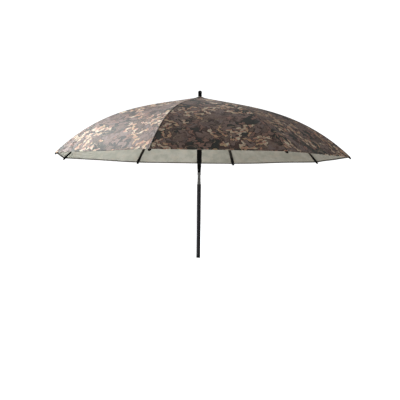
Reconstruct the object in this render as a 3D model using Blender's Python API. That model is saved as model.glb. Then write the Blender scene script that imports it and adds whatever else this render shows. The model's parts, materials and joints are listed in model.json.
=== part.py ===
"""Open camouflage fishing umbrella: eight hinged ribs on a pole with a tilt joint.

All sizes are in metres. The pole stands on the origin and runs up +Z. Every rib,
stretcher and canopy panel is built once in its own upright plane, where local X
points away from the pole, and is turned to its place around the pole.
"""
import math

import bmesh
import bpy
import numpy as np
from mathutils import Matrix

# Canopy
RIB_COUNT = 8
FIRST_RIB = math.radians(-15.8)  # turn of the first rib from +X
RIM_RADIUS = 1.000  # pole axis to the end of a rib tip
RIM_HEIGHT = 0.669  # pole end to the cloth at the rib ends
CANOPY_RISE = 0.409  # rim to the top of the dome
STRAIGHT_FALL = 0.5565  # part of the rise lost evenly along the radius
ROUND_FALL = -0.4633  # part lost with the square of the radius, the rest with its cube
PANEL_SAG = 0.005  # mid-panel below the straight line between two ribs, at half radius
CROWN_FLARE = 0.008  # cloth drawn up round the finial
CROWN_FLARE_REACH = 0.020
HEM_INSET = 0.001  # rib tip end to the hem
CLOTH = 0.0012
PANEL_GAP = 0.0006  # between two neighbouring panels
CLOTH_GAP = 0.0005  # between the cloth and the rods and tips that carry it
CROWN_CLOTH_GAP = 0.0009  # between the cloth and the crown, and under the finial
CLOTH_HOLE_PLAY = 0.0020  # round the finial's stud

# Pole
POLE_RADIUS = 0.0135
TUBE_WALL = 0.0016
LOWER_TUBE_TOP = 0.492
END_CAP_HEIGHT = 0.010
END_CAP_PLUG = 0.025
END_CAP_CHAMFER = 0.0012
SEAT_GAP = 0.0003  # between pieces that touch or plug into each other

# Tilt joint, stacked on the lower tube
TILT_PIVOT_RISE = 0.037  # lower tube's top to the rivet
TILT_RADIUS = 0.0113
TONGUE_SHOULDER = 0.0020
TONGUE_COLLAR = 0.0140
TONGUE_SHANK = 0.040
TONGUE_HALF_THICKNESS = 0.0050
TONGUE_ROUND = 0.0103
CHEEK_PLAY = 0.0003
CHEEK_THICKNESS = 0.0045
FORK_NECK = 0.027  # rivet to the fork's collar
FORK_COLLAR = 0.0157
FORK_SHANK_RADIUS = 0.0077
FORK_SHANK = 0.046
FERRULE_LENGTH = 0.0537  # fork's collar to the upper tube
FERRULE_FOOT_RADIUS = 0.0107
FERRULE_STRAIGHT = 0.004
FERRULE_BAND = 0.011
FERRULE_PLUG = 0.038
TILT_PIN_RADIUS = 0.0035
TILT_HEAD_RADIUS = 0.0050
TILT_HEAD_HEIGHT = 0.0018
TILT_DIMPLE_RADIUS = 0.0024
TILT_DIMPLE_DEPTH = 0.0012

# Hinges of ribs and stretchers
HINGE_REACH = 0.0100  # pole surface to the hinge axes
EYE_RADIUS = 0.0036
EYE_HALF_WIDTH = 0.0025
HINGE_PIN_RADIUS = 0.00105
EYE_HOLE_RADIUS = 0.0014
SLOT_PLAY = 0.00035

# Crown
CROWN_RIM = 0.0065  # hinge axes to the crown's outer edge
CROWN_DISC_BELOW = 0.0065  # hinge axes to the disc's underside
CROWN_COLLAR_WALL = 0.0042
CROWN_COLLAR = 0.030
CROWN_PLATE = 0.0040
SLOT_FLOOR_REACH = 0.0052  # pole surface to the floor of a slot

# Finial
FINIAL_HEIGHT = 0.0365
FINIAL_RADIUS = 0.0130
FINIAL_SHAPE = (  # shares of its radius and height, from the foot up
    (0.92, 0.00), (1.00, 0.06), (0.95, 0.18), (0.92, 0.32), (0.97, 0.52),
    (1.00, 0.68), (0.93, 0.82), (0.70, 0.93), (0.36, 1.00),
)
STUD_RADIUS = 0.0040
STUD_DEPTH = 0.0120

# Runner
RUNNER_PLAY = 0.0005
RUNNER_WALL = 0.0025
RUNNER_CLEAR = 0.006  # upper tube's foot to the open runner's
RUNNER_SLEEVE = 0.128  # its foot to the stretchers' hinges
RUNNER_CHAMFER = 0.0010
HUB_RIM = 0.0065
HUB_HALF_HEIGHT = 0.0090
HUB_FLARE = 0.0150
HUB_COLLAR_HEIGHT = 0.0070
HUB_COLLAR_WALL = 0.0045

# Lock pin, drawn out
LOCK_RISE = 0.068  # above the runner's foot
LOCK_PANEL = 2.5  # rib steps from the first rib, so between two ribs on the far side
LOCK_PIN_RADIUS = 0.0025
LOCK_STROKE = 0.0045
LOCK_TIP_GAP = 0.0007
LOCK_BOSS_RADIUS = 0.0070
LOCK_BOSS_HEIGHT = 0.0035
LOCK_KNOB_RADIUS = 0.0065
LOCK_KNOB_LENGTH = 0.0085
LOCK_KNOB_CHAMFER = 0.0010

# Ribs, tips, clips and stretchers
RIB_RADIUS = 0.0022
RIB_END_INSET = 0.018  # rib tip end to the end of the rod inside it
CROWN_BLEND = 0.035  # length in which the rib rises to the cloth
TIP_BLEND = 0.110  # length in which it draws off the cloth again towards the tip
TIP_LENGTH = 0.062
TIP_HALF_HEIGHT = 0.0045
TIP_HALF_WIDTH = 0.0090
TIP_SHAPE = (  # shares of its length, half width and half height, from the rib outwards
    (0.00, 0.40, 0.80), (0.10, 0.46, 0.84), (0.34, 0.86, 1.00), (0.58, 1.00, 1.00),
    (0.84, 1.00, 0.90), (0.95, 0.84, 0.72), (1.00, 0.56, 0.44),
)
CLIP_RADIUS_AT = 0.450  # pole axis to the clips
CLIP_HALF_LENGTH = 0.0070
CLIP_STRAIGHT = 0.0105  # the rib is straight this far to each side of a clip
CLIP_LIP = 0.0012  # above the rib's middle
CLIP_EAR = 0.0021
CLIP_EAR_ROUND = 0.0036
CLIP_PIN_DROP = 0.0085  # rib's middle to the clip's pin
RIVET_HEAD_RADIUS = 0.0022
RIVET_HEAD_HEIGHT = 0.0008
STRETCHER_RADIUS = 0.0019
CLOSED_TIP_RADIUS = 0.0285  # pole axis to the rib tip ends when folded

# Facets
POLE_SIDES = 24
ROD_SIDES = 6
EYE_SIDES = 10
PIN_SIDES = 6
TIP_SIDES = 10
BORE_STATIONS = 4  # along the bore of a tip
EAR_STEPS = 6
CROWN_WIRE_FACETS = 5  # from one rib to the next
MIDDLE_STATIONS = 8  # along the cloth and the ribs, between crown and tips
STATION_BIAS = 1.25  # over 1 packs them towards the tips
PANEL_COLUMNS = 6

TILT_PIVOT_HEIGHT = LOWER_TUBE_TOP + TILT_PIVOT_RISE
FORK_COLLAR_FOOT = TILT_PIVOT_HEIGHT + FORK_NECK
FERRULE_FOOT = FORK_COLLAR_FOOT + FORK_COLLAR + SEAT_GAP
UPPER_TUBE_FOOT = FERRULE_FOOT + FERRULE_LENGTH + SEAT_GAP
RUNNER_FOOT = UPPER_TUBE_FOOT + RUNNER_CLEAR
RUNNER_HINGE_HEIGHT = RUNNER_FOOT + RUNNER_SLEEVE
LOCK_HEIGHT = RUNNER_FOOT + LOCK_RISE
TUBE_BORE = POLE_RADIUS - TUBE_WALL
HINGE_RADIUS = POLE_RADIUS + HINGE_REACH
SLOT_FLOOR = POLE_RADIUS + SLOT_FLOOR_REACH
SLOT_HALF = EYE_HALF_WIDTH + SLOT_PLAY
RUNNER_BORE = POLE_RADIUS + RUNNER_PLAY
RUNNER_RADIUS = RUNNER_BORE + RUNNER_WALL
RIB_STEP = math.tau / RIB_COUNT
LOCK_TURN = FIRST_RIB + LOCK_PANEL * RIB_STEP
CLIP_HALF_WIDTH = SLOT_HALF + CLIP_EAR
MILLIMETRE = 0.001


def cloth_height(radius):
    """Height of the cloth's middle over a rib: a cubic fall, plus the flare at the crown."""
    share = radius / RIM_RADIUS
    cube_fall = 1 - STRAIGHT_FALL - ROUND_FALL
    fall = STRAIGHT_FALL * share + ROUND_FALL * share**2 + cube_fall * share**3
    flare = CROWN_FLARE * np.exp(-((radius / CROWN_FLARE_REACH) ** 2))
    return RIM_HEIGHT + CANOPY_RISE * (1 - fall) + flare


def cloth_stretch(radius):
    """Length of the cloth's slope per unit of radius, which turns a gap into a drop."""
    step = 0.1 * MILLIMETRE
    slope = (cloth_height(radius + step) - cloth_height(radius - step)) / (2 * step)
    return np.hypot(1, slope)


def smooth(share):
    """Ease from 0 to 1 with level ends."""
    share = np.clip(share, 0, 1)
    return share * share * (3 - 2 * share)


def tip_reach():
    """From a tip's middle to the cloth, which falls away sideways from the ridge of a rib.

    The tip's section is an ellipse under a slanted line, so the reach is the root of the
    squares of its half height and of the fall over its half width.
    """
    stretch = cloth_stretch(RIM_RADIUS)
    ridge_fall = math.sqrt(stretch**2 - 1) * math.tan(RIB_STEP / 2) / stretch
    return math.hypot(TIP_HALF_HEIGHT, ridge_fall * TIP_HALF_WIDTH)


def rib_height(radius):
    """Height of the rib's middle: it hangs low at its hinge and in its tip."""
    at_hinge = EYE_RADIUS + CLOTH / 2 + 2 * CLOTH_GAP
    along = RIB_RADIUS + CLOTH / 2 + CLOTH_GAP
    at_tip = tip_reach() + CLOTH / 2 + CLOTH_GAP
    rise = smooth((radius - HINGE_RADIUS) / CROWN_BLEND)
    draw_off = smooth((radius - RIM_RADIUS + TIP_LENGTH + TIP_BLEND) / TIP_BLEND)
    drop = at_hinge + (along - at_hinge) * rise + (at_tip - along) * draw_off
    return cloth_height(radius) - drop * cloth_stretch(radius)


def cloth_stations():
    """Radii of the rows of cloth. The ribs bend at the same ones, so the two stay clear."""
    inner = STUD_RADIUS + CLOTH_HOLE_PLAY
    rise_end = HINGE_RADIUS + CROWN_BLEND
    tip_start = RIM_RADIUS - TIP_LENGTH
    crown = [inner, (inner + HINGE_RADIUS) / 2, HINGE_RADIUS]
    crown.append(HINGE_RADIUS + CROWN_BLEND / 2)
    shares = 1 - (1 - np.linspace(0, 1, MIDDLE_STATIONS + 1)) ** STATION_BIAS
    middle = rise_end + (tip_start - rise_end) * shares
    at_clip = CLIP_RADIUS_AT + CLIP_STRAIGHT * np.array([-1, 1])
    middle = middle[np.abs(middle - CLIP_RADIUS_AT) > 2 * CLIP_STRAIGHT]
    hem = RIM_RADIUS - HEM_INSET
    return np.array([*crown, *sorted([*middle, *at_clip]), (tip_start + hem) / 2, hem])


def rib_direction(radius):
    """Unit vector (x, z) along the rib, away from the pole."""
    step = MILLIMETRE
    rise = rib_height(radius + step) - rib_height(radius - step)
    length = math.hypot(2 * step, rise)
    return 2 * step / length, rise / length


CROWN_HINGE_HEIGHT = float(rib_height(HINGE_RADIUS))
CLIP_ALONG = rib_direction(CLIP_RADIUS_AT)
CLIP_PIN = (
    CLIP_RADIUS_AT + CLIP_PIN_DROP * CLIP_ALONG[1],
    float(rib_height(CLIP_RADIUS_AT)) - CLIP_PIN_DROP * CLIP_ALONG[0],
)
STRETCHER_LENGTH = math.hypot(
    CLIP_PIN[0] - HINGE_RADIUS, CLIP_PIN[1] - RUNNER_HINGE_HEIGHT
)


def runner_travel():
    """How far the runner slides down when the rib ends close on the pole.

    Each rib turns about its crown hinge until its end is CLOSED_TIP_RADIUS from the
    axis. Its clip turns with it, and the stretcher then hangs from the clip.
    """
    out, down = RIM_RADIUS - HINGE_RADIUS, CROWN_HINGE_HEIGHT - rib_height(RIM_RADIUS)
    reach = math.hypot(out, down)
    closed = math.acos((CLOSED_TIP_RADIUS - HINGE_RADIUS) / reach)
    turn = closed - math.atan2(down, out)
    clip_out, clip_down = CLIP_PIN[0] - HINGE_RADIUS, CROWN_HINGE_HEIGHT - CLIP_PIN[1]
    clip_angle = math.atan2(clip_down, clip_out) + turn
    clip_reach = math.hypot(clip_out, clip_down)
    clip_height = CROWN_HINGE_HEIGHT - clip_reach * math.sin(clip_angle)
    offset = clip_reach * math.cos(clip_angle)
    hinge_height = clip_height - math.sqrt(STRETCHER_LENGTH**2 - offset**2)
    return RUNNER_HINGE_HEIGHT - hinge_height


def material(name, colour, roughness, metallic=0.0):
    """Principled material with one colour."""
    made = bpy.data.materials.new(name)
    made.use_nodes = True
    shader = made.node_tree.nodes["Principled BSDF"]
    shader.inputs["Base Color"].default_value = (*colour, 1)
    shader.inputs["Roughness"].default_value = roughness
    shader.inputs["Metallic"].default_value = metallic
    return made


def mesh_of(name, points, faces):
    """Closed mesh whose faces all point outwards."""
    mesh = bpy.data.meshes.new(name)
    mesh.from_pydata([tuple(map(float, p)) for p in points], [], faces)
    shape = bmesh.new()
    shape.from_mesh(mesh)
    bmesh.ops.recalc_face_normals(shape, faces=shape.faces)
    shape.to_mesh(mesh)
    shape.free()
    return mesh


def rings_mesh(name, rings, looped=False):
    """Skin over rings of equally many points. Looped rings close on the first one."""
    count, sides = len(rings), len(rings[0])
    faces = []
    for ring in range(count if looped else count - 1):
        here, there = ring * sides, (ring + 1) % count * sides
        for side in range(sides):
            after = (side + 1) % sides
            faces.append((here + side, here + after, there + after, there + side))
    if not looped:
        faces.append(tuple(reversed(range(sides))))
        faces.append(tuple(range((count - 1) * sides, count * sides)))
    return mesh_of(name, [p for ring in rings for p in ring], faces)


def turned(name, profile, hollow=False, sides=POLE_SIDES):
    """Piece turned about Z from (radius, height) points. A hollow profile is a closed loop."""
    angles = [math.tau * side / sides for side in range(sides)]
    rings = [
        [(radius * math.cos(a), radius * math.sin(a), height) for a in angles]
        for radius, height in profile
    ]
    return rings_mesh(name, rings, looped=hollow)


def rod(name, points, radii, half_widths=None, sides=ROD_SIDES):
    """Bar along (x, z) points in the upright plane, with flat ends. It is round, or an
    ellipse where half widths across the plane are given."""
    points = np.array(points, float)
    along = np.gradient(points, axis=0)
    along /= np.linalg.norm(along, axis=1)[:, None]
    angles = math.tau * (np.arange(sides) + 0.5) / sides
    rings = []
    half_widths = radii if half_widths is None else half_widths
    for (x, z), (ahead_x, ahead_z), radius, half in zip(points, along, radii, half_widths):
        lift, side = radius * np.cos(angles), half * np.sin(angles)
        rings.append(np.stack([x - ahead_z * lift, side, z + ahead_x * lift], axis=1))
    return rings_mesh(name, rings)


def plate(name, outline, low, high):
    """Outline of (x, z) points, extruded along Y from low to high."""
    rings = [[(x, y, z) for x, z in outline] for y in (low, high)]
    return rings_mesh(name, rings)


def box(name, low, high):
    """Block between two corners."""
    outline = [(low[0], low[2]), (high[0], low[2]), (high[0], high[2]), (low[0], high[2])]
    return plate(name, outline, low[1], high[1])


def moved(mesh, matrix):
    """The mesh after it was moved by a matrix."""
    mesh.transform(matrix)
    return mesh


def worked(mesh, *steps):
    """The mesh after Boolean steps, each ("UNION", "DIFFERENCE" or "INTERSECT", mesh)."""
    blank = bpy.data.objects.new("blank", mesh)
    bpy.context.collection.objects.link(blank)
    tools = []
    for operation, tool_mesh in steps:
        tool = bpy.data.objects.new("cutter", tool_mesh)
        tool.hide_render, tool.display_type = True, "WIRE"
        bpy.context.collection.objects.link(tool)
        modifier = blank.modifiers.new(operation.title(), "BOOLEAN")
        modifier.operation, modifier.object = operation, tool
        tools.append(tool)
    evaluated = blank.evaluated_get(bpy.context.evaluated_depsgraph_get())
    result = bpy.data.meshes.new_from_object(evaluated)
    for spent in [blank, *tools]:
        bpy.data.objects.remove(spent)
    result.name = mesh.name
    return result


def place(name, mesh, finish, parent=None):
    """Object for one piece, shaded smooth but for its sharp edges."""
    if not mesh.materials:
        mesh.materials.append(finish)
        mesh.shade_smooth()
        mesh.set_sharp_from_angle(angle=math.radians(35))
    piece = bpy.data.objects.new(name, mesh)
    piece.parent = parent
    bpy.context.collection.objects.link(piece)
    return piece


def joint_axis(name, location, turn=0.0, parent=None):
    """Empty on a joint's axis, turned about Z, that carries the moving pieces."""
    axis = bpy.data.objects.new(name, None)
    axis.location = location
    axis.rotation_euler = (0, 0, turn)
    axis.parent = parent
    bpy.context.collection.objects.link(axis)
    return axis


def across(radius, half_length, x, z, sides=PIN_SIDES):
    """Cylinder along Y through (x, z)."""
    bar = turned("bar", [(radius, -half_length), (radius, half_length)], sides=sides)
    turn = Matrix.Rotation(math.pi / 2, 4, "X")
    return moved(bar, Matrix.Translation((x, 0, z)) @ turn)


def around(count=RIB_COUNT):
    """Turn of each rib's plane."""
    return [FIRST_RIB + RIB_STEP * number for number in range(count)]


def lock_window(height):
    """Cutter for the hole that the lock pin enters, on the far side of a tube."""
    radius = LOCK_PIN_RADIUS + SEAT_GAP
    ends = [(radius, TUBE_BORE / 2), (radius, RUNNER_RADIUS + LOCK_BOSS_HEIGHT)]
    cutter = turned("window", ends, sides=2 * ROD_SIDES)
    lay = Matrix.Rotation(math.pi / 2, 4, "Y")
    turn = Matrix.Rotation(LOCK_TURN, 4, "Z")
    return moved(cutter, Matrix.Translation((0, 0, height)) @ turn @ lay)


def tube(name, foot, top):
    """Plain round tube of the pole."""
    profile = [(TUBE_BORE, foot), (POLE_RADIUS, foot), (POLE_RADIUS, top), (TUBE_BORE, top)]
    return turned(name, profile, hollow=True)


def build_pole(black, dark_tube):
    """Both tubes of the pole and the cap that closes its end."""
    lower = tube("lower_tube", END_CAP_HEIGHT + SEAT_GAP, LOWER_TUBE_TOP)
    window = lock_window(LOCK_HEIGHT - runner_travel())
    place("lower_tube", worked(lower, ("DIFFERENCE", window)), dark_tube)
    upper_top = CROWN_HINGE_HEIGHT - CROWN_DISC_BELOW
    upper = tube("upper_tube", UPPER_TUBE_FOOT, upper_top - SEAT_GAP)
    window = lock_window(LOCK_HEIGHT)
    place("upper_tube", worked(upper, ("DIFFERENCE", window)), dark_tube)
    plug = TUBE_BORE - SEAT_GAP
    cap = [
        (POLE_RADIUS - END_CAP_CHAMFER, 0),
        (POLE_RADIUS, END_CAP_CHAMFER),
        (POLE_RADIUS, END_CAP_HEIGHT),
        (plug, END_CAP_HEIGHT),
        (plug, END_CAP_HEIGHT + END_CAP_PLUG),
    ]
    place("end_cap", turned("end_cap", cap), black)


def rounded_lug(name, half_width, pivot, far, low, high, steps=10):
    """Flat lug across Y: straight from far to the pivot's height, round past it."""
    way = math.copysign(1, pivot - far)
    angles = [math.pi * step / steps for step in range(steps + 1)]
    outline = [(half_width, far)]
    outline += [
        (half_width * math.cos(a), pivot + way * half_width * math.sin(a)) for a in angles
    ]
    outline.append((-half_width, far))
    return plate(name, outline, low, high)


def build_tilt_joint(plated, black):
    """Fork above, tongue below, the rivet through both, and the fork's cone ferrule."""
    pivot = TILT_PIVOT_HEIGHT
    hole = TILT_PIN_RADIUS + SEAT_GAP
    cheek_inside = TONGUE_HALF_THICKNESS + CHEEK_PLAY
    cheek_outside = cheek_inside + CHEEK_THICKNESS

    shank = TUBE_BORE - SEAT_GAP
    seat = LOWER_TUBE_TOP + SEAT_GAP
    shoulder = POLE_RADIUS - TUBE_WALL / 2
    shoulder_top = seat + TONGUE_SHOULDER
    collar_top = shoulder_top + TONGUE_COLLAR
    base = [
        (shank, LOWER_TUBE_TOP - TONGUE_SHANK),
        (shank, seat),
        (shoulder, seat),
        (shoulder, shoulder_top),
        (TILT_RADIUS, shoulder_top + MILLIMETRE),
        (TILT_RADIUS, collar_top),
    ]
    lug = rounded_lug(
        "lug", TONGUE_ROUND, pivot, (shoulder_top + collar_top) / 2,
        -TONGUE_HALF_THICKNESS, TONGUE_HALF_THICKNESS,
    )
    bore = across(hole, 2 * POLE_RADIUS, 0, pivot, sides=2 * ROD_SIDES)
    tongue = worked(turned("tilt_tongue", base), ("UNION", lug), ("DIFFERENCE", bore))
    place("tilt_tongue", tongue, plated)

    collar = FORK_COLLAR_FOOT
    collar_seat = FERRULE_FOOT - SEAT_GAP
    head = [
        (TILT_RADIUS, collar),
        (TILT_RADIUS, collar_seat),
        (FORK_SHANK_RADIUS, collar_seat),
        (FORK_SHANK_RADIUS, collar_seat + FORK_SHANK),
    ]
    cheeks = rounded_lug(
        "cheeks", TILT_RADIUS, pivot, (collar + collar_seat) / 2,
        -cheek_outside, cheek_outside,
    )
    cheek_edge = TILT_RADIUS - SEAT_GAP
    limits = [(cheek_edge, pivot - 2 * TILT_RADIUS), (cheek_edge, collar_seat + FORK_SHANK)]
    gap = box(
        "gap",
        (-2 * TILT_RADIUS, -cheek_inside, pivot - 2 * TILT_RADIUS),
        (2 * TILT_RADIUS, cheek_inside, collar - SEAT_GAP),
    )
    bore = across(hole, 2 * POLE_RADIUS, 0, pivot, sides=2 * ROD_SIDES)
    trimmed = worked(
        cheeks,
        ("INTERSECT", turned("limits", limits)),
        ("DIFFERENCE", gap),
        ("DIFFERENCE", bore),
    )
    fork = worked(turned("tilt_fork", head), ("UNION", trimmed))
    place("tilt_fork", fork, plated)

    head_foot = cheek_outside + SEAT_GAP
    head_top = head_foot + TILT_HEAD_HEIGHT
    half = [
        (TILT_DIMPLE_RADIUS, head_top - TILT_DIMPLE_DEPTH),
        (TILT_DIMPLE_RADIUS, head_top),
        (TILT_HEAD_RADIUS - 0.5 * TILT_DIMPLE_DEPTH, head_top),
        (TILT_HEAD_RADIUS, head_top - 0.5 * TILT_DIMPLE_DEPTH),
        (TILT_HEAD_RADIUS, head_foot),
        (TILT_PIN_RADIUS, head_foot),
    ]
    profile = half + [(radius, -height) for radius, height in reversed(half)]
    rivet = turned("tilt_rivet", profile, sides=2 * ROD_SIDES)
    lay = Matrix.Translation((0, 0, pivot)) @ Matrix.Rotation(math.pi / 2, 4, "X")
    place("tilt_rivet", moved(rivet, lay), plated)

    bore = FORK_SHANK_RADIUS + SEAT_GAP
    tube_seat = UPPER_TUBE_FOOT - SEAT_GAP
    cone = [
        (bore, FERRULE_FOOT),
        (FERRULE_FOOT_RADIUS, FERRULE_FOOT),
        (FERRULE_FOOT_RADIUS, FERRULE_FOOT + FERRULE_STRAIGHT),
        (POLE_RADIUS, tube_seat - FERRULE_BAND),
        (POLE_RADIUS, tube_seat),
        (shank, tube_seat),
        (shank, tube_seat + FERRULE_PLUG),
        (bore, tube_seat + FERRULE_PLUG),
    ]
    place("tilt_ferrule", turned("tilt_ferrule", cone, hollow=True), black)


def slots(low, high, outer):
    """Cutters for the slots of a hinge ring, one for each rib."""
    cutters = []
    for turn in around():
        slot = box("slot", (SLOT_FLOOR, -SLOT_HALF, low), (outer, SLOT_HALF, high))
        cutters.append(moved(slot, Matrix.Rotation(turn, 4, "Z")))
    return cutters


def wire_ring(name, radius):
    """Round wire bent to a ring through all the crown hinges, turned with the ribs."""
    facets = CROWN_WIRE_FACETS * RIB_COUNT
    angles = [math.tau * side / PIN_SIDES for side in range(PIN_SIDES)]
    profile = [
        (HINGE_RADIUS + radius * math.cos(a), CROWN_HINGE_HEIGHT + radius * math.sin(a))
        for a in angles
    ]
    ring = turned(name, profile, hollow=True, sides=facets)
    return moved(ring, Matrix.Rotation(FIRST_RIB + math.pi / facets, 4, "Z"))


def build_crown(black, plated):
    """Crown with a slot for each rib, the wire that the ribs hinge on, and the finial."""
    rim = HINGE_RADIUS + CROWN_RIM
    hinge = CROWN_HINGE_HEIGHT
    plate_foot = hinge - CROWN_DISC_BELOW
    socket = POLE_RADIUS + SEAT_GAP
    collar = socket + CROWN_COLLAR_WALL
    stud_hole = STUD_RADIUS + SEAT_GAP
    clear = CLOTH / 2 + CROWN_CLOTH_GAP

    def under_cloth(radius):
        """Crown's top under the cloth, which is lowest halfway between two ribs."""
        over_rib = radius / math.cos(RIB_STEP / 2)
        return float(cloth_height(over_rib) - clear * cloth_stretch(over_rib))

    plate_top = plate_foot + CROWN_PLATE
    top = [(radius, under_cloth(radius)) for radius in np.linspace(rim, collar / 2, 6)]
    profile = [
        (stud_hole, plate_foot),
        (socket, plate_foot),
        (socket, plate_foot - CROWN_COLLAR),
        (collar, plate_foot - CROWN_COLLAR),
        (collar, plate_foot),
        (rim, plate_foot),
        *top,
        (stud_hole, max(plate_top, top[-1][1])),
    ]
    slot_top = under_cloth(stud_hole) + rim
    cuts = slots(plate_foot - CROWN_PLATE, slot_top, 2 * rim)
    cuts.append(wire_ring("channel", HINGE_PIN_RADIUS + SEAT_GAP))
    crown = turned("crown", profile, hollow=True)
    place("crown", worked(crown, *[("DIFFERENCE", cut) for cut in cuts]), black)
    place("crown_wire", wire_ring("crown_wire", HINGE_PIN_RADIUS), plated)

    hole_edge = STUD_RADIUS + CLOTH_HOLE_PLAY
    foot = float(cloth_height(hole_edge)) + CLOTH / 2 + SEAT_GAP
    knob = [(STUD_RADIUS, foot - STUD_DEPTH), (STUD_RADIUS, foot)]
    knob += [
        (wide * FINIAL_RADIUS, foot + high * FINIAL_HEIGHT) for wide, high in FINIAL_SHAPE
    ]
    place("finial", turned("finial", knob, sides=16), black)


def build_runner(black, plated):
    """Runner with its hub slots, on its own axis empty, and the lock pin in its boss."""
    slide = joint_axis("runner_slide_axis", (0, 0, RUNNER_HINGE_HEIGHT))
    hinge = RUNNER_HINGE_HEIGHT
    rim = HINGE_RADIUS + HUB_RIM
    collar = RUNNER_BORE + HUB_COLLAR_WALL
    collar_top = hinge + HUB_HALF_HEIGHT + HUB_COLLAR_HEIGHT
    hub_foot = hinge - HUB_HALF_HEIGHT
    profile = [
        (RUNNER_BORE, RUNNER_FOOT),
        (RUNNER_RADIUS - RUNNER_CHAMFER, RUNNER_FOOT),
        (RUNNER_RADIUS, RUNNER_FOOT + RUNNER_CHAMFER),
        (RUNNER_RADIUS, hub_foot - HUB_FLARE),
        (rim, hub_foot),
        (rim, hinge + HUB_HALF_HEIGHT - RUNNER_CHAMFER),
        (rim - RUNNER_CHAMFER, hinge + HUB_HALF_HEIGHT),
        (collar, hinge + HUB_HALF_HEIGHT),
        (collar, collar_top),
        (RUNNER_BORE, collar_top),
    ]
    slot_low = hub_foot - HUB_FLARE - MILLIMETRE
    slot_high = hinge + HUB_HALF_HEIGHT + MILLIMETRE
    cuts = [("DIFFERENCE", cut) for cut in slots(slot_low, slot_high, 2 * rim)]
    boss_face = RUNNER_RADIUS + LOCK_BOSS_HEIGHT
    boss = turned(
        "boss",
        [(LOCK_BOSS_RADIUS, RUNNER_BORE + RUNNER_WALL / 2), (LOCK_BOSS_RADIUS, boss_face)],
        sides=2 * ROD_SIDES,
    )
    lay = Matrix.Rotation(math.pi / 2, 4, "Y")
    to_lock = Matrix.Translation((0, 0, LOCK_HEIGHT)) @ Matrix.Rotation(LOCK_TURN, 4, "Z")
    runner = worked(
        turned("runner", profile, hollow=True),
        ("UNION", moved(boss, to_lock @ lay)),
        *cuts,
        ("DIFFERENCE", lock_window(LOCK_HEIGHT)),
    )
    place("runner", moved(runner, Matrix.Translation((0, 0, -hinge))), black, slide)

    lock = joint_axis("lock_axis", (0, 0, LOCK_HEIGHT - hinge), LOCK_TURN, slide)
    knob_foot = boss_face + LOCK_STROKE + SEAT_GAP
    knob_top = knob_foot + LOCK_KNOB_LENGTH
    pin = [
        (LOCK_PIN_RADIUS, POLE_RADIUS + LOCK_TIP_GAP),
        (LOCK_PIN_RADIUS, knob_foot),
        (LOCK_KNOB_RADIUS, knob_foot),
        (LOCK_KNOB_RADIUS, knob_top - LOCK_KNOB_CHAMFER),
        (LOCK_KNOB_RADIUS - LOCK_KNOB_CHAMFER, knob_top),
    ]
    lock_mesh = moved(turned("lock_pin", pin, sides=2 * ROD_SIDES), lay)
    place("lock_pin", lock_mesh, plated, lock)


def eye(name, x=0.0, z=0.0):
    """Flat ring across Y that a hinge pin passes through."""
    profile = [
        (EYE_HOLE_RADIUS, -EYE_HALF_WIDTH),
        (EYE_RADIUS, -EYE_HALF_WIDTH),
        (EYE_RADIUS, EYE_HALF_WIDTH),
        (EYE_HOLE_RADIUS, EYE_HALF_WIDTH),
    ]
    ring = turned(name, profile, hollow=True, sides=EYE_SIDES)
    turn = Matrix.Rotation(math.pi / 2, 4, "X")
    return moved(ring, Matrix.Translation((x, 0, z)) @ turn)


def rib_mesh():
    """Curved rod from the eye at the crown hinge to inside the tip, origin on the hinge."""
    start = HINGE_RADIUS + (EYE_HOLE_RADIUS + EYE_RADIUS) / 2
    end = RIM_RADIUS - RIB_END_INSET
    bends = cloth_stations()
    bends = bends[(bends > start + CROWN_BLEND / 3) & (bends < end - RIB_RADIUS)]
    radii = np.array([start, *bends, end])
    points = np.stack([radii, rib_height(radii)], axis=1)
    points -= (HINGE_RADIUS, CROWN_HINGE_HEIGHT)
    bar = rod("bar", points, [RIB_RADIUS] * len(radii))
    return worked(eye("rib"), ("UNION", bar))


def tip_mesh():
    """Flat plastic cap on the rib's end, wide at its nose, with a blind bore."""
    start = RIM_RADIUS - TIP_LENGTH
    shares, wide, high = np.array(TIP_SHAPE).T
    radii = start + TIP_LENGTH * shares
    points = np.stack([radii, rib_height(radii)], axis=1)
    origin = (HINGE_RADIUS, CROWN_HINGE_HEIGHT)
    body = rod(
        "tip", points - origin, TIP_HALF_HEIGHT * high, TIP_HALF_WIDTH * wide, sides=TIP_SIDES
    )
    end = RIM_RADIUS - RIB_END_INSET + SEAT_GAP
    bored = np.linspace(start - RIB_RADIUS, end, BORE_STATIONS)
    bore_points = np.stack([bored, rib_height(bored)], axis=1) - origin
    bore = rod("bore", bore_points, [RIB_RADIUS + 1.5 * SEAT_GAP] * len(bored))
    return worked(body, ("DIFFERENCE", bore))


def clip_frame():
    """Matrix that carries a clip's own axes (X along the rib) to its pin on the rib."""
    along_x, along_z = CLIP_ALONG
    turn = Matrix.Rotation(-math.atan2(along_z, along_x), 4, "Y")
    x, z = CLIP_PIN[0] - HINGE_RADIUS, CLIP_PIN[1] - CROWN_HINGE_HEIGHT
    return Matrix.Translation((x, 0, z)) @ turn


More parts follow.
